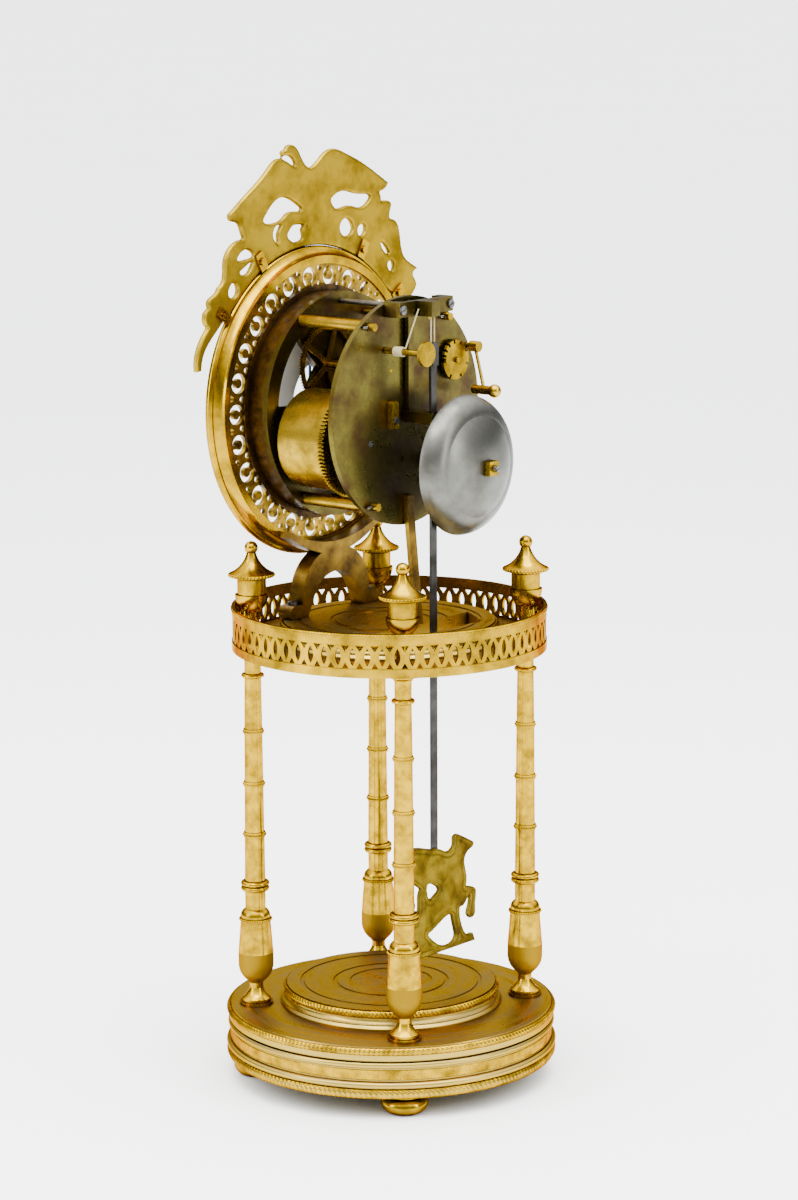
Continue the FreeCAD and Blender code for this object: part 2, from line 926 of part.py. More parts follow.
gallery_low = base_top + S.column_length
floor_top = gallery_low + S.floor_thickness
centre_height = floor_top + S.centre_rise


# Steel rods from the feet to the finials clamp plinth, columns and gallery together.
def make_tie_rods():
    low = S.foot_height - S.rod_foot_depth
    model = doc.addObject("Part::Cylinder", "rod_model")
    model.setExpression("Radius", S.rod_radius.formula)
    model.setExpression("Height", (floor_top + S.rod_finial_depth - low).formula)
    return grouped("tie_rods", [model], column_places(low))


def slot_corners():
    front_half = S.step_foot_radius - S.slot_front_inset
    back_half = S.step_foot_radius - S.slot_corner_inset
    back = S.step_foot_radius - S.slot_back_inset
    return [
        (-front_half, S.slot_front),
        (front_half, S.slot_front),
        (back_half, back),
        (-back_half, back),
    ]


# The gallery: a floor plate, a raised disc on it, both slotted for the pendulum rod.
def make_gallery():
    floor = new_body("gallery_floor")
    sketch = sketch_on(floor)
    circle(sketch, 0, 0, floor_radius)
    column_holes(sketch)
    outline(sketch, slot_corners())
    padded(floor, sketch, S.floor_thickness)
    as_node(place(floor, z=gallery_low), "gallery_floor")

    profile = [(0, 0)] + disc_side() + disc_rings(S.step_height)
    disc = turned("gallery_disc", profile)
    slot = sketch_on(disc)
    outline(slot, slot_corners())
    pocketed(disc, slot)
    as_node(place(disc, z=floor_top), "gallery_disc")


def ring_solid(outer, inner, low, high):
    outer_wall = Part.makeCylinder(float(outer), float(high - low), vector(0, 0, low))
    return outer_wall.cut(Part.makeCylinder(float(inner), float(high - low), vector(0, 0, low)))


def polygon_face(points):
    corners = [vector(*point) for point in points]
    return Part.Face(Part.makePolygon(corners + corners[:1]))


# The pierced band stands round the floor plate. Upright lens holes alternate with a small
# notch above and below, and each hole is cut along the radius.
def make_band():
    low_top = S.band_low_height
    pierced_top = low_top + S.band_pierced_height
    plain_top = pierced_top + S.band_plain_height
    bead_top = plain_top + S.band_bead_height
    inner = band_radius - S.band_wall
    recessed = band_radius - S.band_recess
    band = ring_solid(band_radius, inner, as_size(0), low_top)
    band = band.fuse(ring_solid(recessed, inner, low_top, pierced_top))
    band = band.fuse(ring_solid(band_radius - S.band_recess / 2, inner, pierced_top, plain_top))
    band = band.fuse(ring_solid(band_radius, inner, plain_top, bead_top))
    start = inner - S.band_wall
    lens_middle = (S.lens_low + S.lens_high) / 2
    lens_low, lens_high = vector(start, 0, S.lens_low), vector(start, 0, S.lens_high)
    left = Part.Arc(lens_low, vector(start, -S.lens_width / 2, lens_middle), lens_high)
    right = Part.Arc(lens_high, vector(start, S.lens_width / 2, lens_middle), lens_low)
    lens = Part.Face(Part.Wire([left.toShape(), right.toShape()]))
    upper = polygon_face([
        (start, -S.upper_notch_width / 2, pierced_top - S.notch_inset),
        (start, S.upper_notch_width / 2, pierced_top - S.notch_inset),
        (start, 0, S.upper_notch_low),
    ])
    lower = polygon_face([
        (start, -S.lower_notch_width / 2, low_top + S.notch_inset),
        (start, S.lower_notch_width / 2, low_top + S.notch_inset),
        (start, 0, S.lower_notch_high),
    ])
    through = vector(S.band_wall * 3, 0)
    pitch = 360 / float(S.piercings)
    cutters = []
    for count in range(int(float(S.piercings))):
        for face, turn in ((lens, 0), (upper, 0.5), (lower, 0.5)):
            cutter = face.extrude(through)
            cutter.rotate(vector(0, 0), vector(0, 0, 1), (count + turn) * pitch)
            cutters.append(cutter)
    return shaped("gallery_band", band.cut(cutters), z=gallery_low)


# Turned finials screwed down over the tie rods.
def make_finials():
    body_low = S.finial_cup_top
    lid_top = S.finial_lid_low + S.finial_lid_edge
    ball_middle = S.finial_height - S.finial_ball_radius
    model = turned("finial_model", [
        (ring_bore, 0),
        (S.finial_foot_radius, 0),
        (S.finial_foot_radius, S.finial_foot_height),
        (S.finial_stem_radius, S.finial_foot_height),
        (S.finial_stem_radius, S.finial_stem_height, S.finial_cup_bulge),
        (S.finial_cup_radius, body_low),
        (S.finial_body_radius, body_low),
        (S.finial_body_radius, S.finial_body_top),
        (S.finial_lid_radius, S.finial_lid_low),
        (S.finial_lid_radius, lid_top, -S.finial_cone_hollow),
        (S.finial_tip_neck_radius, S.finial_tip_neck_height,
         S.finial_ball_radius * S.ball_under_share),
        (S.finial_ball_radius, ball_middle, S.finial_ball_radius * S.ball_over_share),
        (S.ball_flat_radius, S.finial_height),
        (0, S.finial_height),
        (0, S.rod_finial_depth),
        (ring_bore, S.rod_finial_depth),
    ])
    return grouped("finials", [model], column_places(floor_top))


disc_top = floor_top + S.step_height


# The bezel rests on the saddle, so the foot's front face is in the bezel's rear plane.
front_face = S.plate_gap + S.front_plate_thickness
dial_forward = front_face + S.pan_stand_off
arch_rear = S.back_plate_inner - dial_forward + S.bezel_lip + S.arch_thickness


# The arched foot stands on the raised disc. Its saddle cradles the rear rim of the bezel.
def make_arched_foot():
    dial_above = centre_height - disc_top
    saddle_top = dial_above - S.bezel_inner_radius
    tip_drop = S.bezel_inner_radius - square_root(
        squared(S.bezel_inner_radius) - squared(S.saddle_half))
    tip_height = saddle_top + tip_drop
    crown_rise = S.arch_crown - S.arch_pad_height
    pad_shoulder = S.arch_pad_outer - S.arch_pad_round
    saddle = [
        (S.saddle_root_half, S.saddle_root_height, S.saddle_under_bend),
        (S.saddle_half, tip_height - S.saddle_tip),
        (S.saddle_half, tip_height, -tip_drop),
        (-S.saddle_half, tip_height),
        (-S.saddle_half, tip_height - S.saddle_tip, S.saddle_under_bend),
        (-S.saddle_root_half, S.saddle_root_height, S.arch_leg_bulge),
    ]
    legs = [
        (-S.arch_leg_outer, S.arch_pad_height),
        (-pad_shoulder, S.arch_pad_height, S.arch_pad_round),
        (-S.arch_pad_outer, 0),
        (-S.arch_pad_inner, 0),
        (-S.arch_leg_inner, S.arch_pad_height, -crown_rise),
        (S.arch_leg_inner, S.arch_pad_height),
        (S.arch_pad_inner, 0),
        (S.arch_pad_outer, 0, S.arch_pad_round),
        (pad_shoulder, S.arch_pad_height),
        (S.arch_leg_outer, S.arch_pad_height, S.arch_leg_bulge),
    ]
    body = new_body("arch_foot")
    sketch = sketch_on(body)
    outline(sketch, legs + saddle)
    padded(body, sketch, S.arch_thickness)
    place(body, 0, arch_rear, disc_top, FRONTAL)
    return as_node(body, "arch_foot")


plate_rear = S.back_plate_inner + S.back_plate_thickness
pivot_hole = S.pivot_radius + S.plate_fit
arbor_hole = S.arbor_radius + S.plate_fit
winding_hole = S.winding_arbor_radius + S.plate_fit


def set_in_movement(thing, spot=(0, 0), forward=0):
    return place(thing, spot[0], S.back_plate_inner - forward, centre_height + spot[1], FRONTAL)


def shaped_in_movement(label, shape, spot=(0, 0)):
    height = centre_height + spot[1]
    return shaped(label, shape, spot[0], S.back_plate_inner, height, FRONTAL)


# The arbors of both trains, each found from the one that drives it.
def meshed(spot, module, first_teeth, second_teeth, angle):
    reach = module * (first_teeth + second_teeth) / 2
    return (spot[0] + across(reach, angle), spot[1] + upward(reach, angle))


centre_spot = (0, 0)
going_spot = meshed(centre_spot, S.barrel_module, S.great_teeth, S.centre_pinion_teeth,
                    -S.barrel_angle)
strike_spot = (-going_spot[0], going_spot[1])
third_spot = meshed(centre_spot, S.centre_module, S.centre_teeth, S.third_pinion_teeth,
                    S.third_angle)
third_reach = S.third_module * (S.third_teeth + S.escape_pinion_teeth) / 2
escape_up = third_spot[1] + square_root(squared(third_reach) - squared(third_spot[0]))
escape_spot = (0, escape_up)
pallet_spot = (0, escape_up + S.pallet_rise)
count_spot = meshed(strike_spot, S.barrel_module, S.great_teeth, S.count_teeth, S.count_angle)
pin_spot = meshed(strike_spot, S.barrel_module, S.great_teeth, S.pin_pinion_teeth, S.pin_angle)
stop_spot = meshed(pin_spot, S.pin_module, S.pin_teeth, S.stop_pinion_teeth, S.stop_angle)
fly_spot = meshed(stop_spot, S.stop_module, S.stop_teeth, S.fly_pinion_teeth, S.fly_angle)
minute_spot = meshed(centre_spot, S.motion_module, S.cannon_teeth, S.minute_wheel_teeth,
                     S.motion_angle)
hammer_spot = (-S.hammer_across, S.hammer_up)
regulator_spot = (S.regulator_across, S.regulator_up)
pillar_spots = (
    (S.upper_pillar_across, S.upper_pillar_up),
    (-S.upper_pillar_across, S.upper_pillar_up),
    (-S.lower_pillar_across, -S.lower_pillar_down),
    (S.lower_pillar_across, -S.lower_pillar_down),
)


# A window between two radii and two angles, with arcs along the radii.
def sector(sketch, inner, outer, start, end):
    half = (end - start) / 2
    outer_rise = outer - across(outer, half)
    inner_rise = inner - across(inner, half)
    outline(sketch, [
        (across(inner, start), upward(inner, start)),
        (across(outer, start), upward(outer, start), outer_rise),
        (across(outer, end), upward(outer, end)),
        (across(inner, end), upward(inner, end), -inner_rise),
    ])


# Two round brass plates hold every pivot. The front one is cut away to a ring and arms,
# and carries the riveted stud of the minute wheel.
def make_plates():
    back = new_body("back_plate")
    sketch = sketch_on(back)
    circle(sketch, 0, 0, S.back_plate_radius)
    circle(sketch, 0, 0, pivot_hole)
    for spot in (third_spot, escape_spot, pin_spot, stop_spot, fly_spot, regulator_spot):
        circle(sketch, spot[0], spot[1], pivot_hole)
    for spot in (pallet_spot, count_spot, hammer_spot):
        circle(sketch, spot[0], spot[1], arbor_hole)
    for spot in (going_spot, strike_spot):
        circle(sketch, spot[0], spot[1], S.winding_pivot_radius + S.plate_fit)
    for spot in pillar_spots:
        circle(sketch, spot[0], spot[1], S.pillar_end_radius + S.plate_fit)
    padded(back, sketch, S.back_plate_thickness)
    as_node(set_in_movement(back, forward=-S.back_plate_thickness), "back_plate")

    front = new_body("front_plate")
    sketch = sketch_on(front)
    circle(sketch, 0, 0, S.front_plate_radius)
    circle(sketch, 0, 0, arbor_hole)
    for spot in (third_spot, escape_spot, pallet_spot, count_spot, pin_spot, stop_spot,
                 fly_spot, hammer_spot, click_spot(1), click_spot(-1)):
        circle(sketch, spot[0], spot[1], pivot_hole)
    for spot in (going_spot, strike_spot):
        circle(sketch, spot[0], spot[1], winding_hole)
    for spot in pillar_spots:
        circle(sketch, spot[0], spot[1], S.pillar_end_radius + S.plate_fit)
    sector(sketch, S.window_inner, S.front_ring_inner, S.right_window_start, S.right_window_end)
    sector(sketch, S.window_inner, S.front_ring_inner, S.left_window_start, S.left_window_end)
    sector(sketch, S.low_window_inner, S.front_ring_inner, S.low_window_start, S.low_window_end)
    padded(front, sketch, S.front_plate_thickness)
    stud = sketch_on(front, "XY_Plane", S.front_plate_thickness)
    circle(stud, minute_spot[0], minute_spot[1], S.stud_radius)
    padded(front, stud, S.stud_reach)
    as_node(set_in_movement(front, forward=S.plate_gap), "front_plate")


# Four pillars join the plates. Taper pins behind the back plate hold their ends.
def make_pillars():
    rear = -S.back_plate_thickness - S.pillar_end_length
    model = turned("pillar_model", [
        (0, rear),
        (S.pillar_end_radius, rear),
        (S.pillar_end_radius, 0),
        (S.pillar_radius, 0),
        (S.pillar_radius, S.plate_gap),
        (S.pillar_end_radius, S.plate_gap),
        (S.pillar_end_radius, front_face),
        (0, front_face),
    ])
    pin_height = -S.back_plate_thickness - S.pin_behind_plate
    cross = sketch_on(model, "YZ_Plane")
    circle(cross, 0, pin_height, S.pin_thick_radius + S.pin_fit)
    hole = pocketed(model, cross)
    hole.SideType = "Symmetric"
    model.Placement.Rotation = FRONTAL
    places = [(x, S.back_plate_inner, centre_height + up) for x, up in pillar_spots]
    grouped("pillars", [model], places)

    pin = doc.addObject("Part::Cone", "pin_model")
    pin.setExpression("Radius1", S.pin_thick_radius.formula)
    pin.setExpression("Radius2", S.pin_thin_radius.formula)
    pin.setExpression("Height", S.pin_length.formula)
    pin.Placement.Rotation = FreeCAD.Rotation(FreeCAD.Vector(0, 1, 0), 90)
    places = []
    for x, up in pillar_spots:
        places.append((x - S.pin_length / 2, plate_rear + S.pin_behind_plate,
                       centre_height + up))
    grouped("pillar_pins", [pin], places)


# Gear cutting. Teeth are straight sided, thinner than the gaps, and every wheel is drawn
# round the origin with a tooth at its phase angle.
def around(radius, angle, height=0.0):
    turn = math.radians(float(angle))
    return (float(radius) * math.cos(turn), float(radius) * math.sin(turn), float(height))


def raised(face, height):
    return face.extrude(vector(0, 0, height))


def toothed(teeth, module, phase, low, thickness):
    teeth, module = int(float(teeth)), float(module)
    middle = module * teeth / 2
    root = middle - module * float(S.dedendum_share)
    tip = middle + module * float(S.addendum_share)
    root_half, tip_half = float(S.tooth_root_share) / 2, float(S.tooth_tip_share) / 2
    points = []
    for tooth in range(teeth):
        for radius, share in ((root, -root_half), (tip, -tip_half), (tip, tip_half),
                              (root, root_half)):
            points.append(around(radius, phase + (tooth + share) * 360 / teeth, low))
    return raised(polygon_face(points), thickness)


def rod(radius, low, high):
    return Part.makeCylinder(float(radius), float(high) - float(low), vector(0, 0, low))


def rod_between(start, stop, radius):
    run = stop - start
    return Part.makeCylinder(float(radius), run.Length, start, run)


# Crosses out a wheel between its hub and its rim, leaving straight arms.
def crossed_out(blank, rim_inner, hub, low, thickness):
    arms = int(float(S.wheel_arms))
    half_arm = float(rim_inner) * float(S.arm_share) / 2
    middle_angle = 180.0 / arms
    cutter = ring_solid(as_size(rim_inner), as_size(hub), as_size(low),
                        as_size(low) + as_size(thickness))
    for arm in range(arms):
        bar = Part.makeBox(float(rim_inner), 2 * half_arm, float(thickness),
                           vector(0, -half_arm, low))
        bar.rotate(vector(0, 0), vector(0, 0, 1), (2 * arm + 1) * middle_angle)
        cutter = cutter.cut(bar)
    return blank.cut(cutter)


def wheel(teeth, module, phase, low, thickness):
    blank = toothed(teeth, module, phase, low, thickness)
    radius = float(module) * float(teeth) / 2
    rim = radius - float(module) * float(S.dedendum_share) - radius * float(S.rim_share)
    return crossed_out(blank, rim, S.hub_radius, low, thickness)


def fused(pieces):
    whole = pieces[0]
    for piece in pieces[1:]:
        whole = whole.fuse(piece)
    return whole.removeSplitter()


# An arbor between the plates with a pivot at each end.
def arbor():
    rear, front = S.end_shake, S.plate_gap - S.end_shake
    return [
        rod(S.pivot_radius, -S.back_plate_thickness, rear),
        rod(S.arbor_radius, rear, front),
        rod(S.pivot_radius, front, front_face),
    ]


# Where two wheels mesh, the second has a gap wherever the first has a tooth.
def direction(from_spot, to_spot):
    run_x = float(as_size(to_spot[0]) - from_spot[0])
    run_up = float(as_size(to_spot[1]) - from_spot[1])
    return math.degrees(math.atan2(run_up, run_x))


def following_phase(teeth, phase, from_spot, to_spot, driven_teeth):
    line = direction(from_spot, to_spot)
    share = (line - phase) * float(teeth) / 360
    return line + 180 + (share + 0.5) * 360 / float(driven_teeth)


centre_pinion_phase = following_phase(S.great_teeth, 0, going_spot, centre_spot,
                                      S.centre_pinion_teeth)
third_pinion_phase = following_phase(S.centre_teeth, 0, centre_spot, third_spot,
                                     S.third_pinion_teeth)
escape_pinion_phase = following_phase(S.third_teeth, 0, third_spot, escape_spot,
                                      S.escape_pinion_teeth)
count_phase = following_phase(S.great_teeth, 0, strike_spot, count_spot, S.count_teeth)
pin_pinion_phase = following_phase(S.great_teeth, 0, strike_spot, pin_spot, S.pin_pinion_teeth)
stop_pinion_phase = following_phase(S.pin_teeth, 0, pin_spot, stop_spot, S.stop_pinion_teeth)
fly_pinion_phase = following_phase(S.stop_teeth, 0, stop_spot, fly_spot, S.fly_pinion_teeth)
minute_phase = following_phase(S.cannon_teeth, 0, centre_spot, minute_spot,
                               S.minute_wheel_teeth)
hour_phase = following_phase(S.minute_pinion_teeth, 0, minute_spot, centre_spot, S.hour_teeth)


# A barrel: the great wheel closes a drum that holds the coiled mainspring.
def make_barrel(name, spot, great_depth):
    drum_low = great_depth + S.great_thickness
    drum_high = S.plate_gap - S.barrel_end_gap
    inner = S.barrel_radius - S.barrel_wall
    pieces = [
        toothed(S.great_teeth, S.barrel_module, 0, great_depth, S.great_thickness),
        ring_solid(S.barrel_radius, inner, drum_low, drum_high),
        rod(S.barrel_radius, drum_high - S.barrel_wall, drum_high),
    ]
    bore = rod(S.winding_arbor_radius + S.winding_fit, great_depth, drum_high)
    shaped_in_movement(name + "_barrel", fused(pieces).cut(bore), spot)

    coil_low = drum_low + S.end_shake
    coil_height = drum_high - S.barrel_wall - S.end_shake - coil_low
    face = mainspring_face(S.winding_arbor_radius + S.spring_fit, inner - S.spring_fit)
    face.translate(vector(0, 0, coil_low))
    shaped_in_movement(name + "_mainspring", raised(face, coil_height), spot)


# The mainspring is a flat strip wound in half turns that swing about two close centres.
def mainspring_face(inner, outer):
    turns = int(float(S.spring_turns))
    strip = float(S.spring_strip)
    shift = (float(outer) - strip - float(inner)) / (2 * turns)
    edges = []
    for extra in (0.0, strip):
        side = []
        for half in range(2 * turns - 1):
            middle = shift * (half % 2)
            radius = float(inner) + shift * half + extra
            sign = -1 if half % 2 else 1
            start = vector(middle + sign * radius, 0)
            top = vector(middle, sign * radius)
            stop = vector(middle - sign * radius, 0)
            side.append(Part.Arc(start, top, stop).toShape())
        edges.append(side)
    inner_side, outer_side = edges
    first = Part.makeLine(inner_side[0].Vertexes[0].Point, outer_side[0].Vertexes[0].Point)
    last = Part.makeLine(inner_side[-1].Vertexes[-1].Point, outer_side[-1].Vertexes[-1].Point)
    ordered = Part.sortEdges(inner_side + outer_side + [first, last])[0]
    return Part.Face(Part.Wire(ordered))


# A saw toothed disc: each tooth has one radial face and one sloping back.
def saw_toothed(teeth, radius, depth, low, thickness, handed=1):
    count = int(float(teeth))
    points = []
    for tooth in range(count):
        angle = handed * tooth * 360 / count
        points.append(around(radius - depth, angle, low))
        points.append(around(radius, angle + handed * 360 / count, low))
        points.append(around(radius - depth, angle + handed * 360 / count, low))
    kept = [points[index] for index in range(len(points)) if index % 3 != 2]
    return raised(polygon_face(kept), thickness)


# The winding arbor carries the ratchet in front of the front plate and ends in a square.
def make_winding_arbor(name, spot, handed):
    shoulder = S.end_shake
    ratchet_low = front_face + S.ratchet_out
    ratchet_high = ratchet_low + S.ratchet_thickness
    half = S.winding_square_half
    square = Part.makeBox(float(half * 2), float(half * 2), float(S.winding_reach),
                          vector(-half, -half, ratchet_high))
    pieces = [
        rod(S.winding_pivot_radius, -S.back_plate_thickness, shoulder),
        rod(S.winding_arbor_radius, shoulder, ratchet_high),
        saw_toothed(S.ratchet_teeth, S.ratchet_radius, S.ratchet_tooth_depth, ratchet_low,
                    S.ratchet_thickness, handed),
        square,
    ]
    shaped_in_movement(name + "_winding_arbor", fused(pieces), spot)


# The click is a small lever, pivoted in the front plate, that holds the ratchet.
def click_spot(side):
    angle = -S.barrel_angle
    reach_x, reach_up = across(S.click_place, angle), upward(S.click_place, angle)
    return ((going_spot[0] + reach_x) * side, going_spot[1] + reach_up)


def make_click(name, side):
    low = front_face + S.ratchet_out
    tip_radius = S.ratchet_radius + S.click_clear + S.click_nose
    away = direction(going_spot, click_spot(1))
    pivot = vector(*around(S.click_place, away)[:2])
    tip = vector(*around(tip_radius, away - float(S.click_angle))[:2]) - pivot
    normal = FreeCAD.Vector(-tip.y, tip.x, 0).normalize()
    wide, narrow = normal * float(S.click_width / 2), normal * float(S.click_nose / 2)
    corners = []
    for point in (wide, tip + narrow, tip - narrow, -wide):
        corners.append((point.x * side, point.y, float(low)))
    pieces = [
        raised(polygon_face(corners), S.ratchet_thickness),
        rod(S.click_boss_radius, low, low + S.ratchet_thickness + S.click_screw_height),
        rod(S.pivot_radius, S.plate_gap, low),
    ]
    shaped_in_movement(name + "_click", fused(pieces), click_spot(side))


def make_going_train():
    make_barrel("going", going_spot, S.great_depth)
    make_winding_arbor("going", going_spot, 1)
    make_click("going", 1)
    pieces = [
        rod(S.pivot_radius, -S.back_plate_thickness, S.end_shake),
        rod(S.arbor_radius, S.end_shake, front_face + S.cannon_reach),
        toothed(S.centre_pinion_teeth, S.barrel_module, centre_pinion_phase,
                S.centre_pinion_depth, S.centre_pinion_width),
        wheel(S.centre_teeth, S.centre_module, 0, S.centre_wheel_depth, S.wheel_thickness),
    ]
    shaped_in_movement("centre_wheel", fused(pieces))

    third_low = S.plate_gap - S.third_wheel_back
    pieces = arbor() + [
        toothed(S.third_pinion_teeth, S.centre_module, third_pinion_phase,
                S.third_pinion_depth, S.third_pinion_width),
        wheel(S.third_teeth, S.third_module, 0, third_low, S.wheel_thickness),
    ]
    shaped_in_movement("third_wheel", fused(pieces), third_spot)

    escape_disc = saw_toothed(S.escape_teeth, S.escape_radius, S.escape_tooth_depth,
                              S.escape_wheel_depth, S.escape_wheel_thickness)
    pieces = arbor() + [
        toothed(S.escape_pinion_teeth, S.third_module, escape_pinion_phase,
                S.plate_gap - S.escape_pinion_back, S.escape_pinion_width),
        escape_disc,
    ]
    shaped_in_movement("escape_wheel", fused(pieces), escape_spot)


# The anchor: two arms that bend down to nibs just clear of the escape wheel's tips.
def make_pallets():
    low, thickness = S.escape_wheel_depth, S.escape_wheel_thickness
    pieces = [
        rod(S.pivot_radius, -S.back_plate_thickness - S.cock_beam_rear,
            -S.back_plate_thickness - S.cock_beam_rear + S.cock_beam_thickness - S.end_shake),
        rod(S.arbor_radius,
            -S.back_plate_thickness - S.cock_beam_rear + S.cock_beam_thickness + S.end_shake,
            S.plate_gap - S.end_shake),
        rod(S.pivot_radius,
            -S.back_plate_thickness - S.cock_beam_rear,
            -S.back_plate_thickness - S.cock_beam_rear + S.cock_beam_thickness + S.end_shake),
        rod(S.pivot_radius, S.plate_gap - S.end_shake, front_face),
        rod(S.pallet_width * 2, low, low + thickness),
    ]
    rise, width = float(S.pallet_rise), float(S.pallet_width)
    for side in (1, -1):
        angle = 90 - side * float(S.pallet_spread)
        tip_x, tip_up = around(S.pallet_reach, angle)[:2]
        out_x, out_up = around(S.pallet_reach + S.pallet_width, angle)[:2]
        knee_x, knee_up = around(S.pallet_reach + S.pallet_width * 2, angle)[:2]
        corners = [
            (0, width, low),
            (knee_x, knee_up - rise + width / 2, low),
            (knee_x + side * width / 2, out_up - rise, low),
            (tip_x + side * width / 2, tip_up - rise, low),
            (tip_x, tip_up - rise, low),
            (out_x - side * width, out_up - rise + width / 2, low),
            (0, -width, low),
        ]
        pieces.append(raised(polygon_face(corners), thickness))
    shaped_in_movement("pallets", fused(pieces), pallet_spot)


def make_strike_train():
    make_barrel("strike", strike_spot, S.strike_great_depth)
    make_winding_arbor("strike", strike_spot, -1)
    make_click("strike", -1)

    count_rear = -S.back_plate_thickness - S.count_wheel_behind
    count_low = count_rear - S.count_wheel_thickness
    count_disc = rod(S.count_wheel_radius, count_low, count_rear)
    notches = int(float(S.count_notches))
    place_share = 0.0
    for notch in range(notches):
        place_share = place_share + (notch + 1)
        angle = 360 * place_share / (notches * (notches + 1) / 2)
        cutter = Part.makeBox(float(S.count_notch_depth) * 2, float(S.count_notch_width),
                              float(S.count_wheel_thickness),
                              vector(S.count_wheel_radius - S.count_notch_depth,
                                     -S.count_notch_width / 2, count_low))
        cutter.rotate(vector(0, 0), vector(0, 0, 1), angle)
        count_disc = count_disc.cut(cutter)
    front = S.plate_gap - S.end_shake
    pieces = [
        rod(S.arbor_radius, count_low - S.count_wheel_thickness, front),
        rod(S.pivot_radius, front, front_face),
        toothed(S.count_teeth, S.barrel_module, count_phase, S.count_gear_depth,
                S.count_gear_width),
        count_disc,
    ]
    shaped_in_movement("count_wheel", fused(pieces), count_spot)

    pieces = arbor() + [
        toothed(S.pin_pinion_teeth, S.barrel_module, pin_pinion_phase, S.pin_pinion_depth,
                S.pin_pinion_width),
        wheel(S.pin_teeth, S.pin_module, 0, S.pin_wheel_depth, S.pin_wheel_thickness),
    ]
    pin_low = S.pin_wheel_depth + S.pin_wheel_thickness
    pins = int(float(S.lifting_pins))
    for pin in range(pins):
        peg = rod(S.lifting_pin_radius, S.pin_wheel_depth, pin_low + S.lifting_pin_length)
        peg.translate(vector(*around(S.lifting_pin_circle, pin * 360 / pins)))
        pieces.append(peg)
    shaped_in_movement("pin_wheel", fused(pieces), pin_spot)

    pieces = arbor() + [
        toothed(S.stop_pinion_teeth, S.pin_module, stop_pinion_phase, S.stop_pinion_depth,
                S.stop_pinion_width),
        wheel(S.stop_teeth, S.stop_module, 0, S.stop_wheel_depth, S.wheel_thickness),
    ]
    shaped_in_movement("stop_wheel", fused(pieces), stop_spot)

    vane = Part.makeBox(float(S.fly_radius * 2), float(S.fly_thickness), float(S.fly_length),
                        vector(-S.fly_radius, -S.fly_thickness / 2, S.fly_depth))
    pieces = arbor() + [
        toothed(S.fly_pinion_teeth, S.stop_module, fly_pinion_phase, S.fly_pinion_depth,
                S.fly_pinion_width),
        vane,
    ]
    shaped_in_movement("fly", fused(pieces), fly_spot)


# Twelve to one between the hands: cannon pinion, minute wheel on its stud, hour wheel.
def make_motion_work():
    cannon_low = front_face + S.cannon_out
    cannon_high = front_face + S.cannon_reach
    pieces = [
        toothed(S.cannon_teeth, S.motion_module, 0, cannon_low, S.cannon_width),
        rod(S.cannon_tube_radius, cannon_low, cannon_high),
    ]
    bore = rod(arbor_hole, cannon_low, cannon_high)
    shaped_in_movement("cannon_pinion", fused(pieces).cut(bore))

    minute_low = front_face + S.minute_wheel_out
    pinion_low = front_face + S.minute_pinion_out
    pieces = [
        wheel(S.minute_wheel_teeth, S.motion_module, minute_phase, minute_low,
              S.motion_wheel_thickness),
        rod(S.hub_radius / 2, minute_low, pinion_low),
        toothed(S.minute_pinion_teeth, S.hour_module, 0, pinion_low, S.minute_pinion_width),
    ]
    bore = rod(S.stud_radius + S.plate_fit, minute_low, pinion_low + S.minute_pinion_width)
    shaped_in_movement("minute_wheel", fused(pieces).cut(bore), minute_spot)

    hour_low = front_face + S.hour_wheel_out
    hour_high = front_face + S.hour_pipe_reach
    pieces = [
        wheel(S.hour_teeth, S.hour_module, hour_phase, hour_low, S.motion_wheel_thickness),
        rod(S.hour_pipe_radius, hour_low, hour_high),
    ]
    bore = rod(S.hour_pipe_bore, hour_low, hour_high)
    shaped_in_movement("hour_wheel", fused(pieces).cut(bore))


# Hands with an open ring near the tip, on a boss that fits its tube.
def make_hand(name, length, tube, low, clock_angle):
    width, height = float(S.hand_width), float(low)
    ring_place = float(length) * float(S.hand_ring_share)
    half = width / 2
    blade = polygon_face([
        (-half / 2, 0, height),
        (half / 2, 0, height),
        (half / 4, float(length), height),
        (-half / 4, float(length), height),
    ])
    ring = ring_solid(S.hand_ring_radius, S.hand_ring_radius - S.hand_width / 3,
                      as_size(height), as_size(height) + S.hand_thickness)
    ring.translate(vector(0, ring_place, 0))
    eye = rod(S.hand_ring_radius - S.hand_width / 3, low, low + S.hand_thickness)
    eye.translate(vector(0, ring_place, 0))
    whole = raised(blade, S.hand_thickness).cut(eye)
    boss = rod(tube + S.hand_width / 2, low, low + S.hand_thickness)
    whole = fused([boss, whole.fuse(ring)])
    whole.rotate(vector(0, 0), vector(0, 0, 1), -clock_angle)
    whole = whole.cut(rod(tube + S.hand_fit, low, low + S.hand_thickness))
    shaped_in_movement(name, whole)


def make_hands():
    minute_low = front_face + S.cannon_reach - S.hand_thickness * 3 / 2
    hour_low = front_face + S.hour_pipe_reach - S.hand_thickness * 3 / 2
    minute_angle = 360 * float(S.shown_minute) / 60
    hour_angle = 360 * (float(S.shown_hour) + float(S.shown_minute) / 60) / 12
    make_hand("minute_hand", S.minute_hand_length, S.cannon_tube_radius, minute_low,
              minute_angle)
    make_hand("hour_hand", S.hour_hand_length, S.hour_pipe_radius, hour_low, hour_angle)


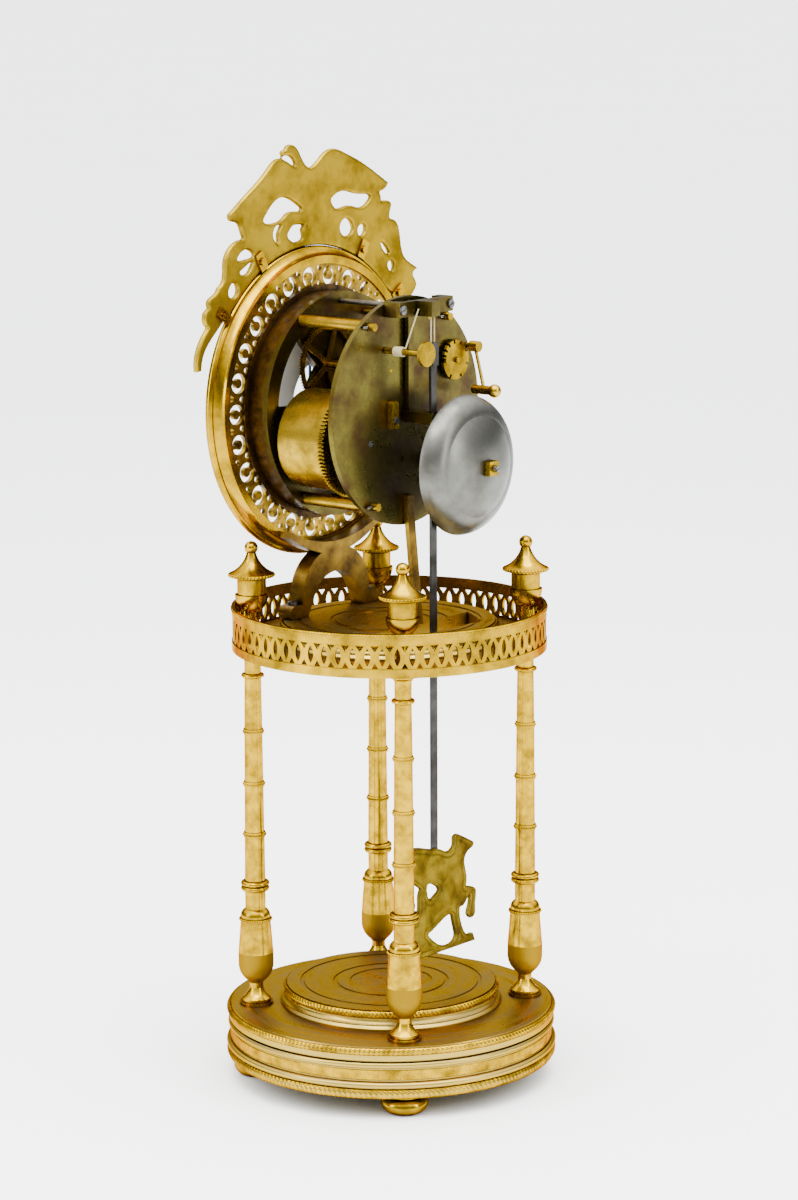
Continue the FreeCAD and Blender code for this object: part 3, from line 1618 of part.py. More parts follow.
# The dial: a pan on the front plate carries the enamel chapter ring and the scroll fret.
def make_dial():
    collar_inner = S.pan_collar_radius - S.pan_collar_wall
    pan = turned("dial_pan", [
        (S.pan_inner_radius, -S.pan_flange),
        (collar_inner, -S.pan_flange),
        (collar_inner, -S.pan_stand_off),
        (S.pan_collar_radius, -S.pan_stand_off),
        (S.pan_collar_radius, -S.pan_flange),
        (S.pan_outer_radius, -S.pan_flange),
        (S.pan_outer_radius, 0),
        (S.pan_inner_radius, 0),
    ])
    as_node(set_in_movement(pan, forward=dial_forward), "dial_pan")

    chapter = new_body("chapter_ring")
    sketch = sketch_on(chapter)
    circle(sketch, 0, 0, S.chapter_outer_radius)
    circle(sketch, 0, 0, S.chapter_inner_radius)
    for spot in (going_spot, strike_spot):
        circle(sketch, spot[0], spot[1], S.winding_hole_radius)
    padded(chapter, sketch, S.chapter_thickness)
    as_node(set_in_movement(chapter, forward=dial_forward), "chapter_ring")
    make_fret()
    make_bezel()


# The fret repeats one cell: a crescent hole round a knob whose stem springs from the inner
# rim and the outer rim in turn, with small round corners pierced between the cells.
def make_fret():
    outer = S.bezel_inner_radius - S.fret_fit
    plate = ring_solid(outer, S.fret_inner_radius, as_size(0), S.fret_thickness)
    cells = int(float(S.fret_cells))
    middle = (outer + S.fret_inner_radius) / 2
    cutters = []
    for cell in range(cells):
        outward = 1 if cell % 2 else -1
        crescent = rod(S.fret_cell_radius, 0, S.fret_thickness)
        crescent = crescent.cut(rod(S.fret_knob_radius, 0, S.fret_thickness))
        stem = Part.makeBox(float(S.fret_cell_radius * 2), float(S.fret_stem_width),
                            float(S.fret_thickness), vector(0, -S.fret_stem_width / 2, 0))
        stem.rotate(vector(0, 0), vector(0, 0, 1), 0 if outward > 0 else 180)
        crescent = crescent.cut(stem)
        crescent.translate(vector(middle, 0, 0))
        crescent.rotate(vector(0, 0), vector(0, 0, 1), cell * 360 / cells)
        cutters.append(crescent)
        for radius in (outer - S.fret_spandrel_inset,
                       S.fret_inner_radius + S.fret_spandrel_inset):
            corner = rod(S.fret_spandrel_radius, 0, S.fret_thickness)
            corner.translate(vector(*around(radius, (cell + 0.5) * 360 / cells)))
            cutters.append(corner)
    fret = plate.cut(cutters)
    forward = S.back_plate_inner - dial_forward
    shaped("scroll_fret", fret, 0, forward, centre_height, FRONTAL)


# The bezel is spun and turned: a lip behind the fret, a coved back and a rolled front.
def make_bezel():
    roll_high = S.bezel_roll_low + S.bezel_roll_height
    bezel = turned("bezel", [
        (S.bezel_inner_radius - S.bezel_lip, -S.bezel_lip),
        (S.bezel_rim_radius, -S.bezel_lip, -S.bezel_cove_hollow),
        (S.bezel_cove_radius, S.bezel_cove_depth),
        (S.bezel_cove_radius + S.bezel_step, S.bezel_cove_depth),
        (S.bezel_radius - S.bezel_roll_round, S.bezel_roll_low, S.bezel_roll_round),
        (S.bezel_radius - S.bezel_roll_round, roll_high),
        (S.bezel_front_radius, S.bezel_front_depth, -S.bezel_slope_hollow),
        (S.bezel_slope_radius, S.bezel_slope_depth),
        (S.bezel_inner_radius, S.bezel_slope_depth),
        (S.bezel_inner_radius, 0),
        (S.bezel_inner_radius - S.bezel_lip, 0),
    ])
    as_node(set_in_movement(bezel, forward=dial_forward), "bezel")


# Cast outlines are drawn in shares of the piece's own width and rise. A stroke is a smooth
# stretch between two sharp corners, and it starts where the one before it ended.
def cast_wire(strokes, width, rise):
    edges = []
    previous = strokes[-1][-1]
    for stroke in strokes:
        points = [vector(x * float(width), y * float(rise)) for x, y in [previous] + stroke]
        previous = stroke[-1]
        if len(points) == 2:
            edges.append(Part.makeLine(points[0], points[1]))
            continue
        curve = Part.BSplineCurve()
        curve.interpolate(points)
        edges.append(curve.toShape())
    return edges


CREST_STROKE_SHARES = [
    [(0.99, 0.09), (0.93, 0.17), (0.895, 0.2)],
    [(0.93, 0.235), (0.925, 0.26), (0.885, 0.285)],
    [(0.89, 0.32), (0.84, 0.345), (0.805, 0.375)],
    [(0.755, 0.42), (0.75, 0.49), (0.7, 0.555), (0.58, 0.58)],
    [(0.605, 0.625), (0.63, 0.66), (0.7, 0.68), (0.705, 0.705)],
    [(0.57, 0.78), (0.385, 0.885), (0.28, 0.94), (0.195, 0.92), (0.125, 0.89)],
    [(0.155, 0.935), (0.245, 0.95)],
    [(0.25, 0.97), (0.215, 0.975)],
    [(0.21, 0.99), (0.185, 1.0), (0.13, 0.99), (0.085, 0.945), (0.0, 0.885)],
    [(-0.07, 0.915), (-0.14, 0.955), (-0.21, 0.965), (-0.3, 0.945), (-0.45, 0.895), (-0.705, 0.78)],
    [(-0.685, 0.76), (-0.6, 0.745)],
    [(-0.635, 0.715), (-0.63, 0.685)],
    [(-0.69, 0.695), (-0.73, 0.68), (-0.715, 0.635), (-0.72, 0.605)],
    [(-0.78, 0.585), (-0.815, 0.5), (-0.845, 0.42), (-0.91, 0.38), (-0.98, 0.35)],
    [(-0.935, 0.315), (-0.965, 0.275), (-0.94, 0.24), (-0.895, 0.2)],
    [(-0.93, 0.17), (-0.99, 0.09), (-1.0, 0.0)],
    [(-0.955, 0.005)],
    [(-0.925, 0.09), (-0.86, 0.15), (-0.76, 0.225)],
]
CREST_FOOT_SHARES = [
    [(0.86, 0.15), (0.925, 0.09), (0.955, 0.005)],
    [(1.0, 0.0)],
]
CREST_HOLE_SHARES = [
    [(0.41, 0.67), (0.36, 0.715), (0.285, 0.755), (0.12, 0.72), (0.07, 0.69), (0.2, 0.685),
     (0.26, 0.655)],
    [(0.05, 0.615), (0.08, 0.595), (0.07, 0.565), (0.12, 0.545), (0.18, 0.555), (0.205, 0.58),
     (0.18, 0.61), (0.11, 0.625)],
    [(0.27, 0.635), (0.33, 0.6), (0.325, 0.57), (0.285, 0.54), (0.285, 0.6)],
    [(-0.19, 0.735), (-0.31, 0.76), (-0.42, 0.74), (-0.54, 0.72), (-0.48, 0.68), (-0.33, 0.69),
     (-0.2, 0.695)],
    [(-0.28, 0.62), (-0.36, 0.61), (-0.375, 0.57), (-0.33, 0.545), (-0.265, 0.57)],
    [(-0.44, 0.59), (-0.485, 0.585), (-0.48, 0.55), (-0.44, 0.54)],
    [(-0.635, 0.5), (-0.68, 0.475), (-0.71, 0.435), (-0.665, 0.45)],
    [(-0.71, 0.4), (-0.745, 0.395), (-0.74, 0.35), (-0.7, 0.37)],
    [(0.64, 0.5), (0.6, 0.53), (0.55, 0.535), (0.5, 0.505), (0.57, 0.49)],
    [(0.64, 0.43), (0.58, 0.455), (0.51, 0.475), (0.53, 0.445), (0.58, 0.42)],
    [(0.71, 0.37), (0.66, 0.385), (0.645, 0.345), (0.69, 0.32)],
]


# The crest is one pierced casting: an eagle with spread wings on scrolling foliage. Its
# lower edge follows the rolled front of the bezel.
def make_crest():
    width, rise = S.bezel_radius + S.crest_wing, S.crest_rise
    edges = cast_wire(CREST_STROKE_SHARES, width, rise)[1:]
    first_stroke = [(1.0, 0.0)] + CREST_STROKE_SHARES[0]
    feet = cast_wire([[CREST_STROKE_SHARES[-1][-1]]] + CREST_FOOT_SHARES, width, rise)[2:]
    right_points = [vector(x * float(width), y * float(rise)) for x, y in first_stroke]
    curve = Part.BSplineCurve()
    curve.interpolate(right_points)
    edges.append(curve.toShape())
    inner = float(S.bezel_radius + S.crest_fit)
    below = -float(S.crest_foot_rise)
    left_x, left_y = CREST_STROKE_SHARES[-1][-1]
    start = vector(left_x * float(width), left_y * float(rise))
    meet_left = vector(*around(inner, 180 - float(S.crest_meet_angle))[:2]) + vector(0, below)
    meet_right = vector(-meet_left.x, meet_left.y)
    top = vector(0, below + inner)
    edges.append(Part.makeLine(start, meet_left))
    edges.append(Part.Arc(meet_left, top, meet_right).toShape())
    right_inner = [meet_right] + [vector(x * float(width), y * float(rise))
                                  for x, y in [(-left_x, left_y)]]
    edges.append(Part.makeLine(right_inner[0], right_inner[1]))
    outer_foot = [right_inner[1]] + [vector(x * float(width), y * float(rise))
                                     for x, y in CREST_FOOT_SHARES[0]]
    curve = Part.BSplineCurve()
    curve.interpolate(outer_foot)
    edges.append(curve.toShape())
    edges.append(feet[-1])
    face = Part.Face(Part.Wire(Part.sortEdges(edges)[0]))
    casting = raised(face, S.crest_thickness)
    casting = casting.cut(cast_holes(CREST_HOLE_SHARES, width, rise, S.crest_thickness))
    forward = S.back_plate_inner - dial_forward - S.crest_setback
    shaped("eagle_crest", casting, 0, forward, centre_height + S.crest_foot_rise, FRONTAL)


def cast_holes(holes, width, rise, thickness):
    cutters = []
    for hole in holes:
        curve = Part.BSplineCurve()
        points = [vector(x * float(width), y * float(rise)) for x, y in hole]
        curve.interpolate(points, PeriodicFlag=True)
        cutters.append(raised(Part.Face(Part.Wire(curve.toShape())), thickness))
    return cutters


# Four small clips, each with its screw, hold the crest behind its lower edge.
def make_crest_clips():
    clips = []
    inner = float(S.bezel_radius + S.crest_fit)
    high = float(S.crest_setback)
    low = high - float(S.clip_thickness)
    for angle in (S.lower_clip_angle, S.upper_clip_angle,
                  180 - S.upper_clip_angle, 180 - S.lower_clip_angle):
        tab = Part.makeBox(float(S.clip_length), float(S.clip_width), float(S.clip_thickness),
                           vector(inner, -S.clip_width / 2, low))
        screw = rod(S.clip_screw_radius, low - float(S.clip_screw_height), high)
        screw.translate(vector(inner + float(S.clip_length / 2), 0))
        clip = fused([tab, screw])
        clip.rotate(vector(0, 0), vector(0, 0, 1), float(angle))
        clips.append(clip)
    forward = S.back_plate_inner - dial_forward
    shaped("crest_clips", Part.makeCompound(clips), 0, forward, centre_height, FRONTAL)


# The cock bridges the pallet arbor behind the back plate. Its nose carries the silk.
def make_cock():
    body = new_body("suspension_cock")
    sketch = sketch_on(body)
    front = S.cock_beam_rear - S.cock_beam_thickness
    outline(sketch, [
        (-S.cock_left, 0),
        (-S.cock_left + S.cock_foot_width, 0),
        (-S.cock_left + S.cock_foot_width, front),
        (S.cock_right - S.cock_foot_width, front),
        (S.cock_right - S.cock_foot_width, 0),
        (S.cock_right, 0),
        (S.cock_right, S.cock_beam_rear - S.cock_corner, S.cock_corner / 4),
        (S.cock_right - S.cock_corner, S.cock_beam_rear),
        (S.cock_nose_half, S.cock_beam_rear),
        (S.cock_nose_half, S.cock_nose_rear),
        (-S.cock_nose_half, S.cock_nose_rear),
        (-S.cock_nose_half, S.cock_beam_rear),
        (-S.cock_left + S.cock_corner, S.cock_beam_rear, S.cock_corner / 4),
        (-S.cock_left, S.cock_beam_rear - S.cock_corner),
    ])
    padded(body, sketch, S.cock_height)
    hole = sketch_on(body, "XZ_Plane")
    circle(hole, 0, S.cock_below_axis, pivot_hole)
    bearing = pocketed(body, hole)
    bearing.Type = "Length"
    bearing.setExpression("Length", S.cock_beam_rear.formula)
    bearing.Reversed = False
    height = centre_height + pallet_spot[1] - S.cock_below_axis
    as_node(place(body, 0, plate_rear, height), "suspension_cock")


# The crutch hangs from the pallet arbor and ends in a fork round the pendulum rod.
def make_crutch():
    rear = -S.back_plate_thickness - S.crutch_gap - S.crutch_thickness
    body = new_body("crutch")
    bar = sketch_on(body, "XY_Plane", rear)
    foot = -S.crutch_length
    outline(bar, [
        (-S.crutch_half, foot),
        (S.crutch_half, foot),
        (S.crutch_half, -S.crutch_collet_radius),
        (S.crutch_collet_radius, 0, S.crutch_collet_radius - S.crutch_half / 2),
        (-S.crutch_collet_radius, 0),
        (-S.crutch_half, -S.crutch_collet_radius),
    ])
    circle(bar, 0, 0, arbor_hole)
    padded(body, bar, S.crutch_thickness)
    fork = sketch_on(body, "XZ_Plane", S.crutch_length - S.fork_height)
    fork_rear = -S.back_plate_thickness - S.fork_rear
    slot_front = -S.back_plate_thickness - S.fork_slot_front
    outline(fork, [
        (-S.fork_half, fork_rear),
        (-S.fork_slot_half, fork_rear),
        (-S.fork_slot_half, slot_front),
        (S.fork_slot_half, slot_front),
        (S.fork_slot_half, fork_rear),
        (S.fork_half, fork_rear),
        (S.fork_half, rear + S.crutch_thickness),
        (-S.fork_half, rear + S.crutch_thickness),
    ])
    padded(body, fork, S.fork_height)
    as_node(set_in_movement(body, pallet_spot), "crutch")


# The hammer: an arbor between the plates with a tail at the pin wheel, a steel block behind
# the back plate and a wire that carries the brass head beside the bell.
def make_hammer():
    plate = -S.back_plate_thickness
    rear = plate - S.hammer_rear
    front = S.plate_gap - S.end_shake
    tail = Part.makeBox(float(S.hammer_tail), float(S.hammer_tail_width),
                        float(S.hammer_tail_width),
                        vector(0, -S.hammer_tail_width / 2, S.hammer_tail_depth))
    tail.rotate(vector(0, 0), vector(0, 0, 1), float(S.hammer_tail_angle))
    head_middle = (plate - S.hammer_head_front + plate - S.hammer_head_rear) / 2
    wire_start = vector(0, 0, rear + S.hammer_block_length / 2)
    wire_end = vector(S.hammer_head_across, -S.hammer_head_drop, head_middle)
    wire = rod_between(wire_start, wire_end, S.hammer_wire_radius)
    pieces = [
        rod(S.arbor_radius, rear, front),
        rod(S.pivot_radius, front, front_face),
        tail,
        rod(S.hammer_block_radius, rear, rear + S.hammer_block_length),
        wire,
    ]
    shaped_in_movement("hammer", fused(pieces), hammer_spot)

    head = rod(S.hammer_head_radius, plate - S.hammer_head_rear, plate - S.hammer_head_front)
    ball = Part.makeSphere(float(S.hammer_ball_radius), vector(0, 0, plate - S.hammer_head_rear))
    head = fused([head, ball])
    head.translate(vector(S.hammer_head_across, -S.hammer_head_drop))
    socket = rod_between(wire_start, wire_end, S.hammer_wire_radius + S.plate_fit)
    shaped_in_movement("hammer_head", head.cut(socket), hammer_spot)


# The bell sits on a post behind the back plate, mouth towards it, under a square nut.
def make_bell():
    spot = (-S.bell_across, -S.bell_down)
    hole = S.bell_post_neck_radius + S.plate_fit
    inner_shoulder = S.bell_shoulder_radius - S.bell_wall / 2
    bell = turned("bell", [
        (S.bell_radius - S.bell_wall, 0, -S.bell_flank_bulge),
        (inner_shoulder, S.bell_wall - S.bell_shoulder_height - S.bell_wall / 2,
         -S.bell_crown_bulge),
        (hole, S.bell_wall - S.bell_height),
        (hole, -S.bell_height, S.bell_crown_bulge),
        (S.bell_shoulder_radius, -S.bell_shoulder_height, S.bell_flank_bulge),
        (S.bell_radius, 0),
    ])
    rim_forward = -S.back_plate_thickness - S.bell_rim
    as_node(set_in_movement(bell, spot, rim_forward), "bell")

    seat = -S.bell_rim - S.bell_height + S.bell_wall
    top = -S.bell_rim - S.bell_height - S.bell_nut_height - S.bell_nut_dome
    post = turned("bell_post", [
        (0, 0),
        (S.bell_post_foot_radius, 0),
        (S.bell_post_foot_radius, -S.bell_post_foot_height),
        (S.bell_post_radius, -S.bell_post_foot_height),
        (S.bell_post_radius, seat),
        (S.bell_post_neck_radius, seat),
        (S.bell_post_neck_radius, top),
        (0, top),
    ])
    as_node(set_in_movement(post, spot, -S.back_plate_thickness), "bell_post")

    nut = new_body("bell_nut")
    sketch = sketch_on(nut)
    outline(sketch, [
        (-S.bell_nut_half, -S.bell_nut_half),
        (S.bell_nut_half, -S.bell_nut_half),
        (S.bell_nut_half, S.bell_nut_half),
        (-S.bell_nut_half, S.bell_nut_half),
    ])
    circle(sketch, 0, 0, hole)
    padded(nut, sketch, S.bell_nut_height, True)
    as_node(set_in_movement(nut, spot, rim_forward - S.bell_height), "bell_nut")


# The regulator arbor winds the silk, which runs over to the nose of the cock.
def make_regulator():
    plate = -S.back_plate_thickness
    end = plate - S.regulator_reach
    arbor_body = turned("regulator_arbor", [
        (0, end),
        (S.regulator_disc_radius, end),
        (S.regulator_disc_radius, end + S.regulator_disc_thickness),
        (S.regulator_radius, end + S.regulator_disc_thickness),
        (S.regulator_radius, plate - S.end_shake),
        (S.pivot_radius, plate - S.end_shake),
        (S.pivot_radius, 0),
        (0, 0),
    ])
    as_node(set_in_movement(arbor_body, regulator_spot), "regulator_arbor")

    start = plate - S.silk_winding_start
    stop = start - S.silk_winding_length
    winding = ring_solid(S.silk_winding_radius, S.regulator_radius + S.plate_fit, stop, start)
    depth = start - S.silk_winding_length * S.silk_place_share
    nose_x = S.cock_nose_half + S.end_shake - S.regulator_across
    nose_up = pallet_spot[1] - S.regulator_up - S.end_shake
    silk = rod_between(vector(-S.silk_winding_radius + S.silk_radius, 0, depth),
                       vector(nose_x, nose_up, depth), S.silk_radius)
    silk = silk.cut(rod(S.regulator_radius + S.plate_fit, stop, start))
    shaped_in_movement("silk_thread", fused([winding, silk]), regulator_spot)


# A small brass block screwed to the back plate beside the crutch.
def make_detent_block():
    block = new_body("detent_block")
    sketch = sketch_on(block)
    outline(sketch, [
        (-S.block_width / 2, -S.block_height / 2),
        (S.block_width / 2, -S.block_height / 2),
        (S.block_width / 2, S.block_height / 2 - S.block_width / 2, S.block_width / 3),
        (-S.block_width / 2, S.block_height / 2 - S.block_width / 2),
    ])
    padded(block, sketch, S.block_thickness, True)
    as_node(set_in_movement(block, (S.block_across, 0), -S.back_plate_thickness),
            "detent_block")


# A flat brass strut ties the back plate to the raised disc in front of the slot.
def make_strut():
    strut = new_body("rear_strut")
    sketch = sketch_on(strut, "YZ_Plane")
    base = disc_top - S.ring_depth
    top = centre_height - S.strut_top - base
    thick, run = S.strut_thickness, S.strut_foot_run
    outline(sketch, [
        (0, top),
        (0, top - S.strut_tab),
        (run, thick),
        (run + thick - S.strut_foot_length, thick),
        (run + thick - S.strut_foot_length, 0),
        (run + thick, 0),
        (run + thick, thick),
        (thick, top - S.strut_tab),
        (thick, top),
    ])
    feature = padded(strut, sketch, S.strut_half * 2)
    as_node(place(strut, -S.strut_half, plate_rear, base), "rear_strut")


# Cheese head screws stand on the pads of the arched foot.
def make_foot_screws():
    slot_low = S.foot_screw_head - S.foot_screw_slot
    model = turned("foot_screw_model", [
        (0, 0),
        (S.foot_screw_radius, 0),
        (S.foot_screw_radius, S.foot_screw_head),
        (0, S.foot_screw_head),
    ])
    slot = sketch_on(model, "XY_Plane", slot_low)
    outline(slot, [
        (-S.foot_screw_radius, -S.foot_screw_slot / 2),
        (S.foot_screw_radius, -S.foot_screw_slot / 2),
        (S.foot_screw_radius, S.foot_screw_slot / 2),
        (-S.foot_screw_radius, S.foot_screw_slot / 2),
    ])
    pocketed(model, slot)
    middle = arch_rear - S.arch_thickness / 2
    height = disc_top + S.arch_pad_height
    places = [(S.foot_screw_place * side, middle, height) for side in (1, -1)]
    grouped("foot_screws", [model], places)


# The pendulum turns about the point where the silk leaves the nose of the cock.
def make_pendulum():
    axis_y = S.back_plate_inner + S.pendulum_back
    axis_z = centre_height + pallet_spot[1]
    rod_top = -S.rod_top_drop
    bob_low = base_top + S.step_height + S.bob_clearance
    rod_length = axis_z + rod_top - bob_low - S.rod_lap

    strip = doc.addObject("Part::Box", "rod_strip")
    strip.setExpression("Length", (S.rod_half_width * 2).formula)
    strip.setExpression("Width", S.rod_thickness.formula)
    strip.setExpression("Height", rod_length.formula)
    place(strip, -S.rod_half_width, -S.rod_thickness / 2, rod_top - rod_length)
    hook = doc.addObject("Part::Box", "rod_hook")
    hook.setExpression("Length", (S.rod_half_width * 2).formula)
    hook.setExpression("Width", S.hook_thickness.formula)
    hook.setExpression("Height", S.hook_height.formula)
    place(hook, -S.rod_half_width, S.rod_thickness / 2, rod_top - S.hook_lap)
    peg = doc.addObject("Part::Cylinder", "rod_peg")
    peg.setExpression("Radius", S.hook_pin_radius.formula)
    peg_length = S.rod_thickness + S.hook_thickness * 2
    peg.setExpression("Height", peg_length.formula)
    peg_rear = S.rod_thickness / 2 + S.hook_thickness
    place(peg, 0, peg_rear, -S.hook_pin_drop, FRONTAL)
    whole = doc.addObject("Part::MultiFuse", "pendulum_rod")
    whole.Shapes = [strip, hook, peg]
    as_node(place(whole, 0, axis_y, axis_z), "pendulum_rod")

    bend = S.hook_pin_radius + S.loop_fit + S.silk_radius
    top = -S.cock_below_axis - S.end_shake
    low = -S.hook_pin_drop
    path = Part.Wire([
        Part.makeLine(vector(bend, 0, top), vector(bend, 0, low)),
        Part.Arc(vector(bend, 0, low), vector(0, 0, low - bend), vector(-bend, 0, low)).toShape(),
        Part.makeLine(vector(-bend, 0, low), vector(-bend, 0, top)),
    ])
    ring = Part.Wire(Part.makeCircle(float(S.silk_radius), vector(bend, 0, top)))
    loop = path.makePipeShell([ring], True, False)
    shaped("silk_loop", loop, 0, axis_y, axis_z)
    make_bob(axis_y + S.rod_thickness / 2 + S.bob_thickness, bob_low)


BOB_STROKE_SHARES = [
    [(-0.05, 0.895), (-0.32, 0.86), (-0.4, 0.89), (-0.41, 0.955), (-0.51, 0.985)],
    [(-0.73, 0.93), (-0.94, 0.875)],
    [(-0.94, 0.845), (-0.78, 0.805), (-0.7, 0.755), (-0.73, 0.635), (-0.73, 0.505)],
    [(-0.86, 0.49), (-1.0, 0.45), (-0.99, 0.34), (-0.97, 0.23), (-0.86, 0.205)],
    [(-0.78, 0.26), (-0.84, 0.34), (-0.83, 0.42), (-0.7, 0.355), (-0.565, 0.345)],
    [(-0.565, 0.26), (-0.62, 0.17), (-0.7, 0.1), (-0.92, 0.075)],
    [(-0.98, 0.0)],
    [(0.6, 0.0)],
    [(0.68, 0.1), (0.9, 0.17), (1.0, 0.3), (0.94, 0.46), (0.78, 0.53)],
    [(0.64, 0.46), (0.7, 0.36), (0.62, 0.34), (0.53, 0.42), (0.52, 0.52), (0.47, 0.6)],
    [(0.64, 0.66), (0.88, 0.78), (0.92, 0.9)],
    [(0.7, 0.97), (0.4, 0.95), (0.11, 0.915)],
]
BOB_HOLE_SHARES = [
    [(0.3, 0.62), (0.11, 0.6), (0.0, 0.54), (0.085, 0.51), (0.25, 0.49)],
    [(0.3, 0.2), (-0.075, 0.27), (-0.345, 0.29), (-0.4, 0.21), (-0.45, 0.095), (0.0, 0.07)],
]


# The bob is a flat casting of a rearing winged horse on a scrolled ground.
def make_bob(rear, low):
    edges = cast_wire(BOB_STROKE_SHARES, S.bob_half_width, S.bob_height)
    face = Part.Face(Part.Wire(edges))
    bob = raised(face, S.bob_thickness)
    holes = cast_holes(BOB_HOLE_SHARES, S.bob_half_width, S.bob_height, S.bob_thickness)
    shaped("pendulum_bob", bob.cut(holes), 0, rear, low, FRONTAL)


make_feet()
make_plinth()
make_step()
make_columns()
make_tie_rods()
make_gallery()
make_band()
make_finials()
make_arched_foot()
make_foot_screws()
make_plates()
make_pillars()
make_dial()
make_crest()
make_crest_clips()
make_cock()
make_detent_block()
make_bell()
make_strut()
make_going_train()
make_pallets()
make_crutch()
make_strike_train()
make_motion_work()
make_hands()
make_hammer()
make_regulator()
make_pendulum()

doc.recompute()


def check_and_write():
    for thing in doc.Objects:
        for fault in ("Invalid", "Error"):
            if fault in thing.State:
                raise RuntimeError("%s is %s" % (thing.Label, fault))
    os.makedirs("parts", exist_ok=True)
    for node in nodes:
        shape = node.Shape
        if shape.isNull() or not shape.isValid() or not shape.Solids:
            raise RuntimeError("%s has no sound solid" % node.Label)
        print("%s: %d solid, %.1f mm3" % (node.Label, len(shape.Solids), shape.Volume))
        shape.exportStep("parts/%s.step" % node.Label)


check_and_write()
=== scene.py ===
# %% [markdown]
# # A gilt bronze portico clock
# The frame comes from the CAD model: every solid is already in place and in metres. This
# lesson gives each piece its finish, adds the ornament that is too fine for the CAD model,
# and sets up the studio. The clock's dial faces -Y, so the photograph looks at its back.

# %% Load the frame
import math

import bmesh
import bpy
from mathutils import Matrix, Vector, noise
from mathutils.kdtree import KDTree


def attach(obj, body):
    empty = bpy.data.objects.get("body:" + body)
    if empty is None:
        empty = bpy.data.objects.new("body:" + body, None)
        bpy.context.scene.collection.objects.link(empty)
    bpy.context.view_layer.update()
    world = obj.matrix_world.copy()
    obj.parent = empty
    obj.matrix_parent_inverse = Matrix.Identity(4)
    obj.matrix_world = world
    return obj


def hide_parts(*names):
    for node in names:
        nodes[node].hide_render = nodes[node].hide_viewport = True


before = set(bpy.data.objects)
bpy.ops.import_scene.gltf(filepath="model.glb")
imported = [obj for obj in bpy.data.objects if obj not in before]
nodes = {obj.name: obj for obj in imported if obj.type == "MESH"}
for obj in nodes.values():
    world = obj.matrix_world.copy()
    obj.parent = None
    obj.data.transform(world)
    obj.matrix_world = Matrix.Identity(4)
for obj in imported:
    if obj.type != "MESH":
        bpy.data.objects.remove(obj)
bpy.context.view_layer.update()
MM = 0.001


print("pieces in the frame:", len(nodes))

# %% [markdown]
# ## Places from the frame
# What is added has to sit on the CAD model's pieces. One function gives a piece's lower
# and upper corner in millimetres, rounded to a hundredth, and the ornament's places are
# worked out from these corners.

# %% Corners of a piece
X, Y, Z = 0, 1, 2


def corners_of(name):
    points = [vertex.co / MM for vertex in nodes[name].data.vertices]
    return [[round(pick(point[axis] for point in points), 2) for axis in (X, Y, Z)]
            for pick in (min, max)]


print("the plinth's corners in mm:", corners_of("base_plinth"))

# %% [markdown]
# ## Colours and nodes
# Hex colours are sRGB, and Blender's sockets want linear numbers, so one function turns
# them. A second small function adds a shader node with its settings and links, which keeps
# each material short enough to read.

# %% Colour and node helpers
def linear(code):
    channels = [int(code[start:start + 2], 16) / 255 for start in (1, 3, 5)]
    curved = [c / 12.92 if c <= 0.04045 else ((c + 0.055) / 1.055) ** 2.4 for c in channels]
    return (*curved, 1.0)


def add(tree, kind, inputs=None, **settings):
    made = tree.nodes.new(kind)
    for name, value in settings.items():
        setattr(made, name, value)
    for socket, value in (inputs or {}).items():
        if isinstance(value, bpy.types.NodeSocket):
            tree.links.new(value, made.inputs[socket])
        else:
            made.inputs[socket].default_value = value
    return made


def new_material(name):
    material = bpy.data.materials.new(name)
    material.use_nodes = True
    tree = material.node_tree
    return material, tree, tree.nodes["Principled BSDF"]


# %% [markdown]
# ## Metals
# Ormolu is bronze coated with gold by fire. Burnished parts are bright and matte parts are
# grainy, and both turn brown in patches. Every metal here is the same recipe: two colours
# mixed by a slow noise, painted shade that darkens the corners, which an ambient occlusion
# node finds, and a fine grain as a bump. The recipe is built from small steps, first the
# ones that only turned pieces need: their stains follow the lathe's rings and are stronger
# on upward faces than on the sides.

# %% Steps for turned pieces
RING_DRAW = 7.0
LYING_FROM, LYING_TO = 0.4, 0.9
STAIN_ON_SIDES = 0.12
RING_STRENGTH = 0.5


def from_axis(tree, place):
    parts = add(tree, "ShaderNodeSeparateXYZ", {"Vector": place})
    flat = add(tree, "ShaderNodeCombineXYZ", {"X": parts.outputs["X"],
                                              "Y": parts.outputs["Y"]})
    reach = add(tree, "ShaderNodeVectorMath", {0: flat.outputs[0]}, operation="LENGTH")
    turn = add(tree, "ShaderNodeMath", {0: parts.outputs["Y"], 1: parts.outputs["X"]},
               operation="ARCTAN2")
    return reach.outputs["Value"], turn.outputs[0], parts.outputs["Z"]


def drawn_round(tree, reach, turn, height):
    drawn = add(tree, "ShaderNodeMath", {0: turn, 1: RING_DRAW * MM}, operation="MULTIPLY")
    return add(tree, "ShaderNodeCombineXYZ", {
        "X": reach, "Y": drawn.outputs[0], "Z": height}).outputs[0]


# Thins the stain on faces that don't point up, so upward faces are darker than the sides.
def less_on_sides(tree, stain):
    facing = add(tree, "ShaderNodeNewGeometry").outputs["Normal"]
    rising = add(tree, "ShaderNodeSeparateXYZ", {"Vector": facing}).outputs["Z"]
    lying = add(tree, "ShaderNodeMapRange", {
        "Value": rising, "From Min": LYING_FROM, "From Max": LYING_TO,
        "To Min": STAIN_ON_SIDES, "To Max": 1.0})
    return add(tree, "ShaderNodeMath", {0: stain, 1: lying.outputs["Result"]},
               operation="MULTIPLY").outputs[0]


